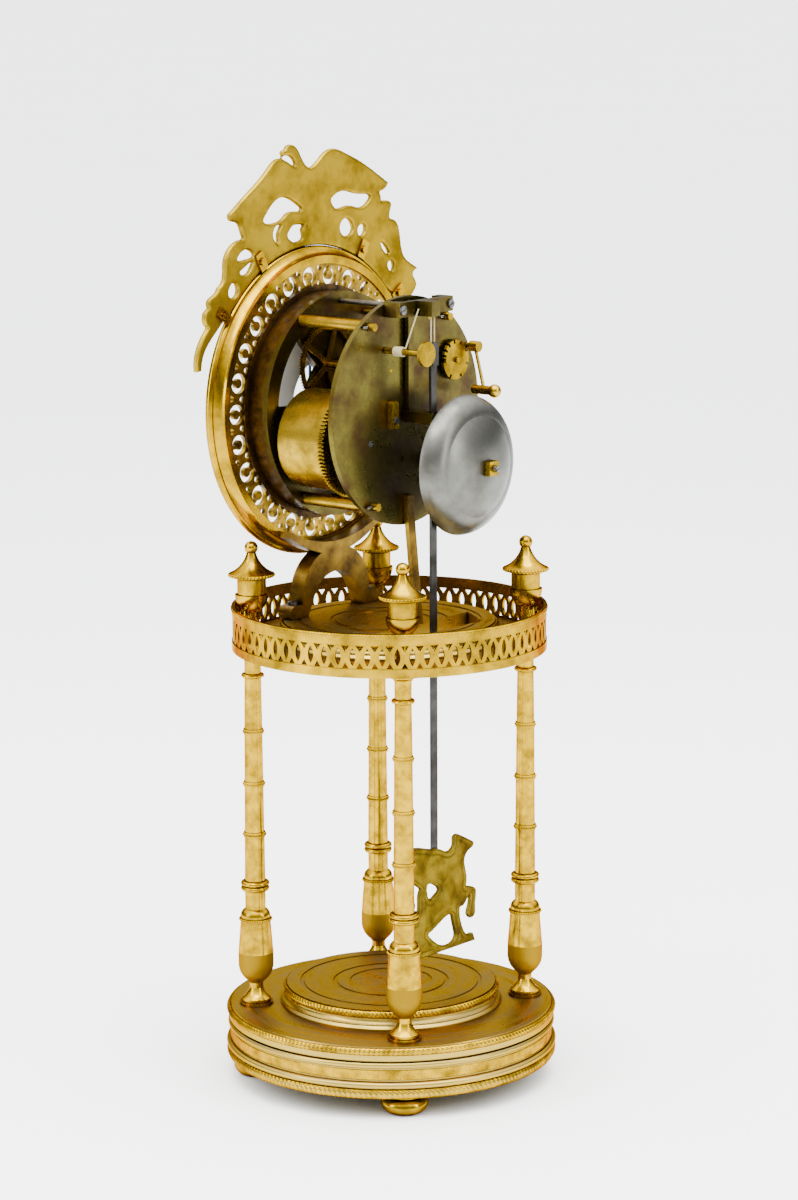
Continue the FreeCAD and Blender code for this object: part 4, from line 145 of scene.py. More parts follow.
def turned_rings(tree, reach, ring_mm, ring_depth_mm, normal):
    turns = add(tree, "ShaderNodeMath", {0: reach, 1: 2 * math.pi / (ring_mm * MM)},
                operation="MULTIPLY")
    wave = add(tree, "ShaderNodeMath", {0: turns.outputs[0]}, operation="SINE")
    return add(tree, "ShaderNodeBump", {
        "Height": wave.outputs[0], "Strength": RING_STRENGTH,
        "Distance": ring_depth_mm * MM, "Normal": normal}).outputs["Normal"]


# %% [markdown]
# The recipe itself. The patch, grain and ring sizes are in millimetres. Real grit scratches
# are under 0.1 mm and a lathe's rings about 0.2 mm, too fine for the render, so the grain
# is drawn at 0.3 to 0.9 mm and the rings at 1.5 mm. The edge colour tints what the metal
# mirrors at a glance, which keeps the flanks of a gilt column yellow instead of white.

# %% Metal recipe
# The painted shade in corners: how far the ambient occlusion looks, with how many rays, and over
# which range it darkens.
CORNER_REACH = 3.0 * MM
CORNER_RAYS = 6
CORNER_FROM, CORNER_TO = 0.25, 0.85
SLOW_DETAIL, SLOW_ROUGHNESS = 5.0, 0.62
PATCH_FROM, PATCH_TO = 0.38, 0.66
WEAR_FROM, WEAR_TO = 0.3, 0.7
GRAIN_DETAIL, GRAIN_STRENGTH = 3.0, 0.6
GOLD_EDGE = "#D2A030"


def painted_corner_shade(tree, colour, shade_colour, shade_share):
    # Painted shade: the colour is pulled toward a dark shade colour where the ambient occlusion
    # node finds corners and roots.
    corner = add(tree, "ShaderNodeAmbientOcclusion", {"Distance": CORNER_REACH},
                 samples=CORNER_RAYS)
    corner_shading = add(tree, "ShaderNodeMapRange", {
        "Value": corner.outputs["AO"], "From Min": CORNER_FROM, "From Max": CORNER_TO,
        "To Min": shade_share, "To Max": 0.0})
    return add(tree, "ShaderNodeMix", {
        0: corner_shading.outputs["Result"], 6: colour, 7: linear(shade_colour)},
        data_type="RGBA").outputs[2]


def metal(name, light, dark, shade_colour, rough, rougher, patch_mm, grain_mm, grain_depth_mm,
          ring_mm=0.0, ring_depth_mm=0.0, shade_share=0.75, stretch=(1.0, 1.0, 1.0),
          edge="#FFFFFF"):
    material, tree, shader = new_material(name)
    place = stain_place = add(tree, "ShaderNodeTexCoord").outputs["Object"]
    if ring_mm:
        reach, turn, height = from_axis(tree, place)
        stain_place = drawn_round(tree, reach, turn, height)
    slow = add(tree, "ShaderNodeTexNoise", {
        "Vector": stain_place, "Scale": 1 / (patch_mm * MM), "Detail": SLOW_DETAIL,
        "Roughness": SLOW_ROUGHNESS}).outputs["Fac"]
    stain = add(tree, "ShaderNodeMapRange", {
        "Value": slow, "From Min": PATCH_FROM, "From Max": PATCH_TO}).outputs["Result"]
    if ring_mm:
        stain = less_on_sides(tree, stain)
    colour = add(tree, "ShaderNodeMix", {
        0: stain, 6: linear(light), 7: linear(dark)}, data_type="RGBA").outputs[2]
    tree.links.new(painted_corner_shade(tree, colour, shade_colour, shade_share), shader.inputs["Base Color"])
    worn = add(tree, "ShaderNodeMapRange", {
        "Value": slow, "From Min": WEAR_FROM, "From Max": WEAR_TO,
        "To Min": rough, "To Max": rougher})
    tree.links.new(worn.outputs["Result"], shader.inputs["Roughness"])
    shader.inputs["Metallic"].default_value = 1.0
    shader.inputs["Specular Tint"].default_value = linear(edge)
    drawn_out = add(tree, "ShaderNodeVectorMath", {0: place, 1: stretch},
                    operation="MULTIPLY").outputs["Vector"]
    grain = add(tree, "ShaderNodeTexNoise", {
        "Vector": drawn_out, "Scale": 1 / (grain_mm * MM), "Detail": GRAIN_DETAIL})
    normal = add(tree, "ShaderNodeBump", {
        "Height": grain.outputs["Fac"], "Strength": GRAIN_STRENGTH,
        "Distance": grain_depth_mm * MM}).outputs["Normal"]
    if ring_mm:
        normal = turned_rings(tree, reach, ring_mm, ring_depth_mm, normal)
    tree.links.new(normal, shader.inputs["Normal"])
    return material


# %% [markdown]
# ## The gilt finishes
# All of these are ormolu. What differs is the last tool that touched them: a burnishing
# stone, a file, sand from the mould or a lathe. The colours are deeper than gilt looks,
# because the bright studio that the metal mirrors makes it paler.

# %% Gilt finishes
# Burnished with a stone: nearly a mirror, with a soft cloudiness from handling.
burnished = metal("burnished_ormolu", "#AC8800", "#6A5200", "#1E1402", 0.16, 0.3,
                  16.0, 0.9, 0.03, shade_share=0.95, edge=GOLD_EDGE)
# Filed flat and gilt over the file marks: the marks blur what it mirrors.
filed = metal("filed_ormolu", "#967C1C", "#66520E", "#1E1402", 0.36, 0.52, 14.0, 0.5, 0.08,
              stretch=(0.35, 1.0, 1.6), edge=GOLD_EDGE)
# As it came from the sand: grainy and dull, and browner with age.
bob_gilt = metal("cast_ormolu", "#70601E", "#463A12", "#1E1402", 0.4, 0.56, 9.0, 0.5, 0.1,
                 edge=GOLD_EDGE)
# Turned on a lathe: fine rings, with stains that follow them.
turned_gilt = metal("turned_ormolu_plate", "#A68C3A", "#766A4C", "#1E1402", 0.24, 0.42,
                    4.5, 0.6, 0.03, ring_mm=1.5, ring_depth_mm=0.04, edge=GOLD_EDGE)
# Milled twists and knurls: bright on the crests, and black in the roots from painted shade.
rope_gilt = metal("shaded_rope_ormolu", "#B48E00", "#6E5400", "#120C00", 0.22, 0.34,
                  9.0, 0.5, 0.02, shade_share=1.0, edge=GOLD_EDGE)
# The back of the fret was never burnished, and smoke has darkened it.
scroll_gilt = metal("darkened_ormolu", "#A88418", "#3A2A08", "#0E0802", 0.26, 0.48,
                    7.0, 0.5, 0.03, shade_share=0.98)
print("materials after the gilt ones:", len(bpy.data.materials))

# %% [markdown]
# ## Brass, bronze, bell metal and steel
# The movement is brass that was lacquered or left to tarnish, with steel where it rubs.
# The bell is a tin-rich bronze, which is grey.

# %% Movement finishes
# Lacquered wheels and barrels: a clear, even yellow shine.
train_brass = metal("lacquered_brass", "#A88920", "#645010", "#181003", 0.2, 0.36,
                    14.0, 0.5, 0.01, shade_share=0.9, edge=GOLD_EDGE)
# Bare plates: polished flat once, now olive with brown clouds.
plate_brass = metal("tarnished_brass_plate", "#544C1A", "#38260F", "#120C04", 0.22, 0.4,
                    15.0, 0.5, 0.02, shade_share=0.9)
# The arched foot: the same tarnish over a rougher casting.
olive_brass = metal("olive_patinated_brass", "#80641C", "#4A340E", "#161003", 0.28, 0.46,
                    12.0, 0.6, 0.03)
# The dial pan: spun and never gilt, dark bronze with painted shade that makes it nearly black in
# the folds and across the shadowed recess that it lines.
shaded_dark_bronze = metal("dark_bronze_and_painted_shade", "#523A10", "#1E1305", "#0A0602", 0.32, 0.5,
                    7.0, 0.5, 0.03)
# The bell: turned, then left grey, with a soft even shine.
bell_metal = metal("silvered_bell_metal", "#60605A", "#4B4A44", "#24221D", 0.3, 0.42,
                   16.0, 0.4, 0.01)
# Polished arbors, screws and springs.
steel = metal("polished_steel", "#7C7B79", "#4A4846", "#1A1714", 0.22, 0.38, 8.0, 0.3, 0.01)
# The pendulum's rod: rolled strip under old oil, almost black.
rod_steel = metal("oiled_dark_steel", "#3A3836", "#242220", "#0E0C0A", 0.3, 0.46,
                  10.0, 0.3, 0.01)
# The hands: polished, then heated until the oxide turns blue.
blued_steel = metal("blued_steel", "#27365C", "#1A2440", "#0C1020", 0.22, 0.34,
                    6.0, 0.3, 0.01)
print("materials after the movement's:", len(bpy.data.materials))

# %% [markdown]
# ## The columns' matted band
# The lower half of each column's vase is matted with a punch, up to a scribed line. The
# finish changes inside one piece, so the material looks at its own height above the floor
# and swaps colour and roughness there.

# %% Column finish
COLUMN_FOOT = corners_of("column_right_rear")[0][Z]
MATTED_LOW, MATTED_HIGH = (COLUMN_FOOT + 10.6) * MM, (COLUMN_FOOT + 25.9) * MM
MATTED_COLOUR = "#7E6208"
MATTED_ROUGHNESS = 0.5
column_gilt = metal("column_ormolu", "#AE8A00", "#7C6000", "#1E1402", 0.16, 0.32,
                    6.0, 0.7, 0.03, shade_share=0.95, edge=GOLD_EDGE)
tree = column_gilt.node_tree
shader = tree.nodes["Principled BSDF"]
place = add(tree, "ShaderNodeTexCoord").outputs["Object"]
height = add(tree, "ShaderNodeSeparateXYZ", {"Vector": place}).outputs["Z"]
over = add(tree, "ShaderNodeMath", {0: height, 1: MATTED_LOW}, operation="GREATER_THAN")
under = add(tree, "ShaderNodeMath", {0: height, 1: MATTED_HIGH}, operation="LESS_THAN")
matted = add(tree, "ShaderNodeMath", {0: over.outputs[0], 1: under.outputs[0]},
             operation="MULTIPLY").outputs[0]
bright = shader.inputs["Base Color"].links[0].from_socket
smooth = shader.inputs["Roughness"].links[0].from_socket
shade = add(tree, "ShaderNodeMix", {0: matted, 6: bright, 7: linear(MATTED_COLOUR)},
            data_type="RGBA")
blur = add(tree, "ShaderNodeMix", {0: matted, 2: smooth, 3: MATTED_ROUGHNESS})
tree.links.new(shade.outputs[2], shader.inputs["Base Color"])
tree.links.new(blur.outputs[0], shader.inputs["Roughness"])
print("the matted band is", round((MATTED_HIGH - MATTED_LOW) / MM, 2), "mm tall")

# %% [markdown]
# ## Enamel, silk and paint
# The chapter ring is copper under fired white enamel. The numerals are painted on it and
# fired again. The silk is twisted, so its bump is a slanted wave.

# %% Enamel
# A glassy shine over a white that is faintly clouded.
ENAMEL_CLOUD = 9.0 * MM
ENAMEL_ROUGHNESS = 0.18
enamel, tree, shader = new_material("fired_white_enamel")
place = add(tree, "ShaderNodeTexCoord").outputs["Object"]
mottle = add(tree, "ShaderNodeTexNoise", {"Vector": place, "Scale": 1 / ENAMEL_CLOUD})
ramp = add(tree, "ShaderNodeValToRGB", {"Fac": mottle.outputs["Fac"]})
ramp.color_ramp.elements[0].color = linear("#D8D5CB")
ramp.color_ramp.elements[1].color = linear("#ECEAE2")
tree.links.new(ramp.outputs["Color"], shader.inputs["Base Color"])
shader.inputs["Roughness"].default_value = ENAMEL_ROUGHNESS
print("enamel clouds of", ENAMEL_CLOUD / MM, "mm")

# %% Silk
# Dull, and striped by its plies. A real ply is about 0.3 mm wide. It is drawn at 1.2 mm so
# that it shows.
SILK_PLY = 1.2 * MM
SILK_DEPTH = 0.05 * MM
SILK_ROUGHNESS = 0.7
silk, tree, shader = new_material("twisted_silk")
place = add(tree, "ShaderNodeTexCoord").outputs["Object"]
twist = add(tree, "ShaderNodeTexWave", {"Vector": place, "Scale": 1 / SILK_PLY},
            bands_direction="DIAGONAL")
ply = add(tree, "ShaderNodeBump", {"Height": twist.outputs["Fac"], "Distance": SILK_DEPTH})
shader.inputs["Base Color"].default_value = linear("#8F8460")
shader.inputs["Roughness"].default_value = SILK_ROUGHNESS
tree.links.new(ply.outputs["Normal"], shader.inputs["Normal"])
print("silk plies of", SILK_PLY / MM, "mm")

# %% Numeral paint
# Black enamel paint, fired at a lower heat than the white, so its shine is uneven.
PAINT_SPECK = 1.0 * MM
PAINT_SMOOTH, PAINT_ROUGH = 0.2, 0.4
numeral_paint, tree, shader = new_material("fired_black_enamel_paint")
place = add(tree, "ShaderNodeTexCoord").outputs["Object"]
specks = add(tree, "ShaderNodeTexNoise", {"Vector": place, "Scale": 1 / PAINT_SPECK})
fade = add(tree, "ShaderNodeMapRange", {
    "Value": specks.outputs["Fac"], "To Min": PAINT_SMOOTH, "To Max": PAINT_ROUGH})
shader.inputs["Base Color"].default_value = linear("#16140F")
tree.links.new(fade.outputs["Result"], shader.inputs["Roughness"])
print("materials in all:", len(bpy.data.materials))

# %% [markdown]
# ## Which piece gets which finish
# The list follows how the pieces were made. Flat turned plates show the lathe's rings, the
# crest is filed, the horse is left as it was cast, and the movement's wheels are lacquered.

# %% Finishes for the frame
FINISHES = {
    column_gilt: ["column_left_front", "column_left_rear", "column_right_front",
                  "column_right_rear"],
    burnished: ["feet", "finials", "gallery_band", "bezel", "tie_rods", "crest_clips"],
    filed: ["eagle_crest"],
    bob_gilt: ["pendulum_bob"],
    turned_gilt: ["base_step", "gallery_disc", "gallery_floor", "base_plinth"],
    train_brass: ["cannon_pinion", "centre_wheel", "count_wheel", "detent_block",
                  "escape_wheel", "fly", "going_barrel", "hour_wheel", "minute_wheel",
                  "pillars", "pin_wheel", "regulator_arbor", "stop_wheel",
                  "strike_barrel", "third_wheel", "bell_nut", "hammer_head", "hammer"],
    plate_brass: ["back_plate", "front_plate", "base_underplate", "suspension_cock",
                  "crutch"],
    olive_brass: ["arch_foot", "rear_strut"],
    shaded_dark_bronze: ["dial_pan"],
    scroll_gilt: ["scroll_fret"],
    steel: ["bell_post", "foot_screws", "going_click", "strike_click", "pallets",
            "pillar_pins", "going_winding_arbor", "strike_winding_arbor",
            "going_mainspring", "strike_mainspring"],
    rod_steel: ["pendulum_rod"],
    blued_steel: ["hour_hand", "minute_hand"],
    bell_metal: ["bell"],
    enamel: ["chapter_ring"],
    silk: ["silk_loop", "silk_thread"],
}


def give(thing, material):
    thing.data.materials.clear()
    thing.data.materials.append(material)


finished = 0
for material, names in FINISHES.items():
    for name in names:
        give(nodes[name], material)
        finished = finished + 1
print("finished pieces:", finished, "of", len(nodes))

# %% [markdown]
# ## New pieces
# Each added piece is a mesh in the clock's own frame. It is told which body it rides on
# and which finish it takes, so that it moves with the CAD model.

# %% Helpers for added pieces
def new_piece(name, vertices, faces, material, body, smooth=True):
    mesh = bpy.data.meshes.new(name)
    mesh.from_pydata(vertices, [], faces)
    mesh.update()
    thing = bpy.data.objects.new(name, mesh)
    bpy.context.scene.collection.objects.link(thing)
    give(thing, material)
    for face in mesh.polygons:
        face.use_smooth = smooth
    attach(thing, body)
    return thing


def from_bmesh(name, model, material, body, smooth=True):
    vertices = [vertex.co[:] for vertex in model.verts]
    model.verts.index_update()
    faces = [[vertex.index for vertex in face.verts] for face in model.faces]
    model.free()
    return new_piece(name, vertices, faces, material, body, smooth)


# %% [markdown]
# ## Rings round the clock
# Rope twist, knurl and beads all run round the clock's axis or a column's. The first two
# are closed rings: one cross-section, repeated at small turns. Two helpers serve both, one
# for a point at a given radius, turn and height, and one for the faces between sections.

# %% Helpers for rings
def round_point(reach, turn, height):
    return (reach * MM * math.cos(turn), reach * MM * math.sin(turn), height * MM)


def ring_faces(steps, rows):
    faces = []
    for step in range(steps):
        here, after = step * rows, (step + 1) % steps * rows
        for row in range(rows):
            up = (row + 1) % rows
            faces.append((here + row, after + row, after + up, here + up))
    return faces


# %% [markdown]
# ## Rope-twist bands
# The plinth, the step and the gallery disc carry bands cast like twisted rope. A plain
# texture would look painted on, so each is a real ring: a half-round section whose radius
# rises and falls round the circle and slants with height. Each line of the list gives a
# band's name, the piece that it runs round, how far it lies inside that piece's radius, how
# far its lower and upper edge lie below the piece's top, its strand width and its depth.

# %% Rope-twist bands
ROPE_ROWS = 7
ROPE_SLANT = 3 * math.pi
ROPE_ROOT = 0.1
STEPS_PER_STRAND = 8


def rope_band(name, radius, low, high, strand_width, depth):
    strands = 2 * round(math.pi * radius / strand_width)
    steps = strands * STEPS_PER_STRAND
    vertices = []
    for step in range(steps):
        turn = 2 * math.pi * step / steps
        for row in range(ROPE_ROWS):
            share = row / (ROPE_ROWS - 1)
            bulge = math.sin(math.pi * share)
            strand = abs(math.cos(strands / 2 * turn + ROPE_SLANT / 2 * share))
            lift = ROPE_ROOT + (1 - ROPE_ROOT) * strand
            reach = radius - depth + depth * bulge * lift
            vertices.append(round_point(reach, turn, low + (high - low) * share))
        inner = radius - 2 * depth
        vertices.append(round_point(inner, turn, high))
        vertices.append(round_point(inner, turn, low))
    faces = ring_faces(steps, ROPE_ROWS + 2)
    new_piece(name, vertices, faces, rope_gilt, "case")


ROPES = [
    ("lower_plinth_rope", "base_plinth", 0.02, 24.9, 20.4, 2.5, 1.1),
    ("upper_plinth_rope", "base_plinth", 0.1, 3.9, 0.6, 2.3, 1.0),
    ("step_rope", "base_step", 1.1, 4.1, 0.7, 2.2, 1.0),
    ("gallery_disc_rope", "gallery_disc", 1.1, 4.1, 0.7, 2.2, 1.0),
]
for name, carrier, inset, lower_drop, upper_drop, strand_width, depth in ROPES:
    far = corners_of(carrier)[1]
    rope_band(name, far[X] - inset, far[Z] - lower_drop, far[Z] - upper_drop, strand_width,
              depth)
print("rope bands:", len(ROPES))

# %% [markdown]
# ## The knurled band
# The plinth's widest flat band is rolled with a knurl, a lattice of small raised diamonds.
# Two slanted waves that cross give the lattice, and the ring's edges sink into the casting.

# %% Knurled band
KNURL_INSET = 1.8
KNURL_DEPTH = 0.28
KNURL_ROOT = 1.2
KNURL_DROPS = (16.4, 10.8)
KNURLS = 300
KNURL_SLANT = 3 * math.pi
KNURL_ROWS = 15
STEPS_PER_KNURL = 5
knurl_steps = KNURLS * STEPS_PER_KNURL
far = corners_of("base_plinth")[1]
low, high = [far[Z] - drop for drop in KNURL_DROPS]
vertices = []
for step in range(knurl_steps):
    turn = 2 * math.pi * step / knurl_steps
    for row in range(KNURL_ROWS):
        share = row / (KNURL_ROWS - 1)
        across, slant = KNURLS / 2 * turn, KNURL_SLANT * share
        lattice = abs(math.cos(across + slant) * math.cos(across - slant))
        sunk = KNURL_ROOT if row in (0, KNURL_ROWS - 1) else KNURL_DEPTH * (1 - lattice)
        reach = far[X] - KNURL_INSET - sunk
        vertices.append(round_point(reach, turn, low + (high - low) * share))
faces = ring_faces(knurl_steps, KNURL_ROWS)
new_piece("knurled_band", vertices, faces, rope_gilt, "case")
print("knurls:", KNURLS)

# %% [markdown]
# ## Bead rings
# Rows of small beads run round the columns' bands, the vases, the finials' lids and the
# top of the gallery. A piece of beads is one mesh of many small spheres. Each ring is given
# by its radius, its height above the carrying piece's foot, its beads' radius and their
# number.

# %% Bead rings
BEAD_TURNS = 8
BEAD_ROWS = 5


def beads(model, centre, ring_radius, height, bead_radius, count):
    for index in range(count):
        turn = 2 * math.pi * index / count
        at = Vector((centre[0] + ring_radius * math.cos(turn),
                     centre[1] + ring_radius * math.sin(turn), height)) * MM
        bmesh.ops.create_uvsphere(model, u_segments=BEAD_TURNS, v_segments=BEAD_ROWS,
                                  radius=bead_radius * MM, matrix=Matrix.Translation(at))


corners = corners_of("column_right_rear")
column_offset = (corners[0][Y] + corners[1][Y]) / 2
column_places = [(column_offset * x, column_offset * y)
                 for x, y in ((1, 1), (-1, 1), (-1, -1), (1, -1))]
gallery_radius = corners_of("gallery_band")[1][X]
BEAD_RINGS = {
    "column_beads": ("column_right_rear", column_places,
                     [(7.55, 42.4, 0.6, 40), (5.25, 84.4, 0.55, 30),
                      (5.0, 109.3, 0.55, 29), (4.75, 135.0, 0.55, 27)]),
    "finial_lid_beads": ("finials", column_places, [(10.4, 32.35, 0.85, 38)]),
    "gallery_beads": ("gallery_band", [(0, 0)], [(gallery_radius - 0.5, 19.4, 0.85, 280)]),
}
for name, (carrier, places, rings) in BEAD_RINGS.items():
    foot = corners_of(carrier)[0][Z]
    model = bmesh.new()
    for centre in places:
        for ring_radius, rise, bead_radius, count in rings:
            beads(model, centre, ring_radius, foot + rise, bead_radius, count)
    from_bmesh(name, model, burnished, "case")
print("bead pieces:", len(BEAD_RINGS))

# %% [markdown]
# ## Cast relief
# The crest and the pendulum's winged horse are flat plates in the frame. The real ones are
# sand cast and worked on one side: the crest's on the dial's side, the horse's on the back,
# where the photograph shows its relief. The other side is flat and filed, with its edges
# broken. The first step collects points along each plate's outline, which are its sharp edges that
# don't run through the thickness, so that a later step can ask how far away the edge is.

# %% Find an outline
OUTLINE_STEP = 0.5 * MM
SHARP = math.radians(50)
THROUGH_SHARE = 0.5


def outline_tree(source):
    model = bmesh.new()
    model.from_mesh(source.data)
    bmesh.ops.remove_doubles(model, verts=model.verts, dist=0.01 * MM)
    points = []
    for edge in model.edges:
        start, end = edge.verts[0].co, edge.verts[1].co
        run = end - start
        if edge.calc_face_angle(0) < SHARP or abs(run.y) > THROUGH_SHARE * run.length:
            continue
        pieces = max(1, int(run.length / OUTLINE_STEP))
        for index in range(pieces + 1):
            point = start + run * (index / pieces)
            points.append((point.x, 0.0, point.z))
    model.free()
    finder = KDTree(len(points))
    for index, point in enumerate(points):
        finder.insert(point, index)
    finder.balance()
    return finder


# %% [markdown]
# Each plate is then remeshed finely, and its points are moved toward the middle of its
# thickness, never away from it, so the casting gets no thicker than the CAD shape. The
# worked side is rounded down to its outline and gets a chased line and a gentle swell. The
# other side gets only a broken edge.

# %% Cast relief
BROKEN_EDGE = 0.7
EDGE_KEPT = 0.4
SWELL_SIZE = 7.0
CHASED_LINE = 0.5


def carved(name, node_name, voxel, round_mm, line_depth, front, material, body):
    source = nodes[node_name]
    finder = outline_tree(source)
    thing = bpy.data.objects.new(name, source.data.copy())
    bpy.context.scene.collection.objects.link(thing)
    remesh = thing.modifiers.new("remesh", "REMESH")
    remesh.voxel_size = voxel * MM
    fine = bpy.data.meshes.new_from_object(
        thing.evaluated_get(bpy.context.evaluated_depsgraph_get()))
    thing.modifiers.clear()
    thing.data = fine
    depths = [vertex.co.y for vertex in fine.vertices]
    middle = (min(depths) + max(depths)) / 2
    for vertex in fine.vertices:
        away = finder.find((vertex.co.x, 0.0, vertex.co.z))[2] / MM
        half = vertex.co.y - middle
        worked = half * front > 0
        reach = round_mm if worked else BROKEN_EDGE
        near = max(0.0, 1.0 - away / reach)
        keep = math.sqrt(max(0.0, 1.0 - near * near)) * (1 - EDGE_KEPT) + EDGE_KEPT
        cut = 0.0
        if worked:
            line = math.exp(-((away - round_mm) / CHASED_LINE) ** 2)
            swell = noise.noise(vertex.co / (SWELL_SIZE * MM)) * 0.5 + 0.5
            cut = (line * line_depth + swell * line_depth) * min(1.0, away)
        half = half * keep
        vertex.co.y = middle + half - math.copysign(min(abs(half), cut * MM), half)
    give(thing, material)
    for face in fine.polygons:
        face.use_smooth = True
    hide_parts(node_name)
    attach(thing, body)
    print(name, "has", len(fine.vertices), "points")


FRONT, BACK = -1, 1
carved("crest_casting", "eagle_crest", 0.7, 2.6, 0.4, FRONT, filed, "case")
carved("horse_casting", "pendulum_bob", 0.6, 2.2, 0.5, BACK, bob_gilt, "pendulum")

# %% [markdown]
# ## Slotted screws
# Small slotted screws hold the cock, the block and the bell. The slot is cut with a
# boolean, because it catches the light as a real gap does. Each line of the list gives a
# screw's name, its place across and up, where its head starts, and the head's radius and
# height. The heads start a little inside the metal that they hold.

# %% Slotted screws
HEAD_SIDES = 32
HEAD_BEVEL = 0.15 * MM
RIM_ANGLE = 1.0
SLOT_WIDTH = 0.5 * MM
SLOT_REACH = 2.4
SLOT_TURN = math.radians(25)
UPRIGHT_TO_REAR = Matrix.Rotation(math.radians(90), 4, "X")


def screw(name, x, z, rear, radius, height):
    body = bmesh.new()
    at = Matrix.Translation(Vector((x, rear + height / 2, z)) * MM)
    bmesh.ops.create_cone(body, cap_ends=True, segments=HEAD_SIDES, radius1=radius * MM,
                          radius2=radius * MM, depth=height * MM,
                          matrix=at @ UPRIGHT_TO_REAR)
    rims = [edge for edge in body.edges if edge.calc_face_angle(0) > RIM_ANGLE]
    bmesh.ops.bevel(body, geom=rims, offset=HEAD_BEVEL, segments=2, affect="EDGES")
    head = from_bmesh(name, body, steel, "case", smooth=False)
    cutter_model = bmesh.new()
    slot_at = Matrix.Translation(Vector((x, rear + height, z)) * MM)
    slope = Matrix.Rotation(SLOT_TURN, 4, "Y")
    size = Matrix.Diagonal((radius * SLOT_REACH * MM, height * MM, SLOT_WIDTH, 1.0))
    bmesh.ops.create_cube(cutter_model, size=1.0, matrix=slot_at @ slope @ size)
    mesh = bpy.data.meshes.new(name + "_slot")
    cutter_model.to_mesh(mesh)
    cutter_model.free()
    cutter = bpy.data.objects.new(name + "_slot", mesh)
    bpy.context.scene.collection.objects.link(cutter)
    cut = head.modifiers.new("slot", "BOOLEAN")
    cut.object = cutter
    cut.solver = "EXACT"
    head.data = bpy.data.meshes.new_from_object(
        head.evaluated_get(bpy.context.evaluated_depsgraph_get()))
    head.modifiers.clear()
    bpy.data.objects.remove(cutter)


cock_near, cock_far = corners_of("suspension_cock")
block_near, block_far = corners_of("detent_block")
post_near, post_far = corners_of("bell_post")
cock_height = (cock_near[Z] + cock_far[Z]) / 2
cock_rear = cock_near[Y] + 8.84
SCREWS = [
    ("cock_screw_left", cock_near[X] + 3.0, cock_height, cock_rear, 2.2, 1.1),
    ("cock_screw_right", cock_far[X] - 3.0, cock_height, cock_rear, 2.2, 1.1),
    ("block_screw", (block_near[X] + block_far[X]) / 2, block_near[Z] + 4.0,
     block_far[Y] - 0.06, 1.8, 1.0),
    ("bell_screw", (post_near[X] + post_far[X]) / 2, (post_near[Z] + post_far[Z]) / 2,
     post_far[Y] - 0.1, 1.5, 0.9),
]
for name, x, z, rear, radius, height in SCREWS:
    screw(name, x, z, rear, radius, height)
print("screws:", len(SCREWS))

# %% [markdown]
# ## The dial's numerals
# The photograph shows the clock from behind, so the front is a plain traditional dial:
# Roman hour numerals and a minute track, fired black on the enamel.

# %% Numerals
ring_near, ring_far = corners_of("chapter_ring")
dial_height = (ring_near[Z] + ring_far[Z]) / 2
DIAL_CENTRE = Matrix.Translation(Vector((0, ring_near[Y], dial_height)) * MM)
NUMERALS = ["XII", "I", "II", "III", "IIII", "V", "VI", "VII", "VIII", "IX", "X", "XI"]
NUMERAL_SIZE = 11.5 * MM
NUMERAL_THICKENING = 0.22 * MM
PAINT_THICKNESS = 0.04 * MM
NUMERAL_RING = ring_far[X] - 12.5
model = bmesh.new()
for hour, text in enumerate(NUMERALS):
    letters = bpy.data.curves.new("numeral", "FONT")
    letters.body = text
    letters.size = NUMERAL_SIZE
    letters.extrude = PAINT_THICKNESS
    letters.offset = NUMERAL_THICKENING
    letters.align_x = "CENTER"
    letters.align_y = "CENTER"
    holder = bpy.data.objects.new("numeral", letters)
    bpy.context.scene.collection.objects.link(holder)
    bpy.context.view_layer.update()
    flat = bpy.data.meshes.new_from_object(
        holder.evaluated_get(bpy.context.evaluated_depsgraph_get()))
    turn = Matrix.Rotation(math.radians(30 * hour), 4, "Y")
    out = Matrix.Translation(Vector((0, 0, NUMERAL_RING)) * MM)
    flat.transform(DIAL_CENTRE @ turn @ out @ UPRIGHT_TO_REAR)
    model.from_mesh(flat)
    bpy.data.objects.remove(holder)
from_bmesh("hour_numerals", model, numeral_paint, "case", smooth=False)
print("numerals:", len(NUMERALS))

# %% Minute track
TRACK_RING = ring_far[X] - 3.3
MINUTE_LENGTH, FIVE_MINUTE_LENGTH = 1.4 * MM, 2.4 * MM
MINUTE_WIDTH = 0.6 * MM
model = bmesh.new()
for minute in range(60):
    length = MINUTE_LENGTH if minute % 5 else FIVE_MINUTE_LENGTH
    turn = Matrix.Rotation(math.radians(6 * minute), 4, "Y")
    out = Matrix.Translation(Vector((0, 0, TRACK_RING)) * MM)
    size = Matrix.Diagonal((MINUTE_WIDTH, 2 * PAINT_THICKNESS, length, 1.0))
    bmesh.ops.create_cube(model, size=1.0, matrix=DIAL_CENTRE @ turn @ out @ size)
from_bmesh("minute_track", model, numeral_paint, "case", smooth=False)
print("the minute track has 60 lines")

# %% [markdown]
# ## The floor
# The photograph was taken on a seamless pale ground, so the floor is one large sheet of
# pale paper: matte, and very slightly uneven in tone, which keeps it from looking like a
# flat fill.

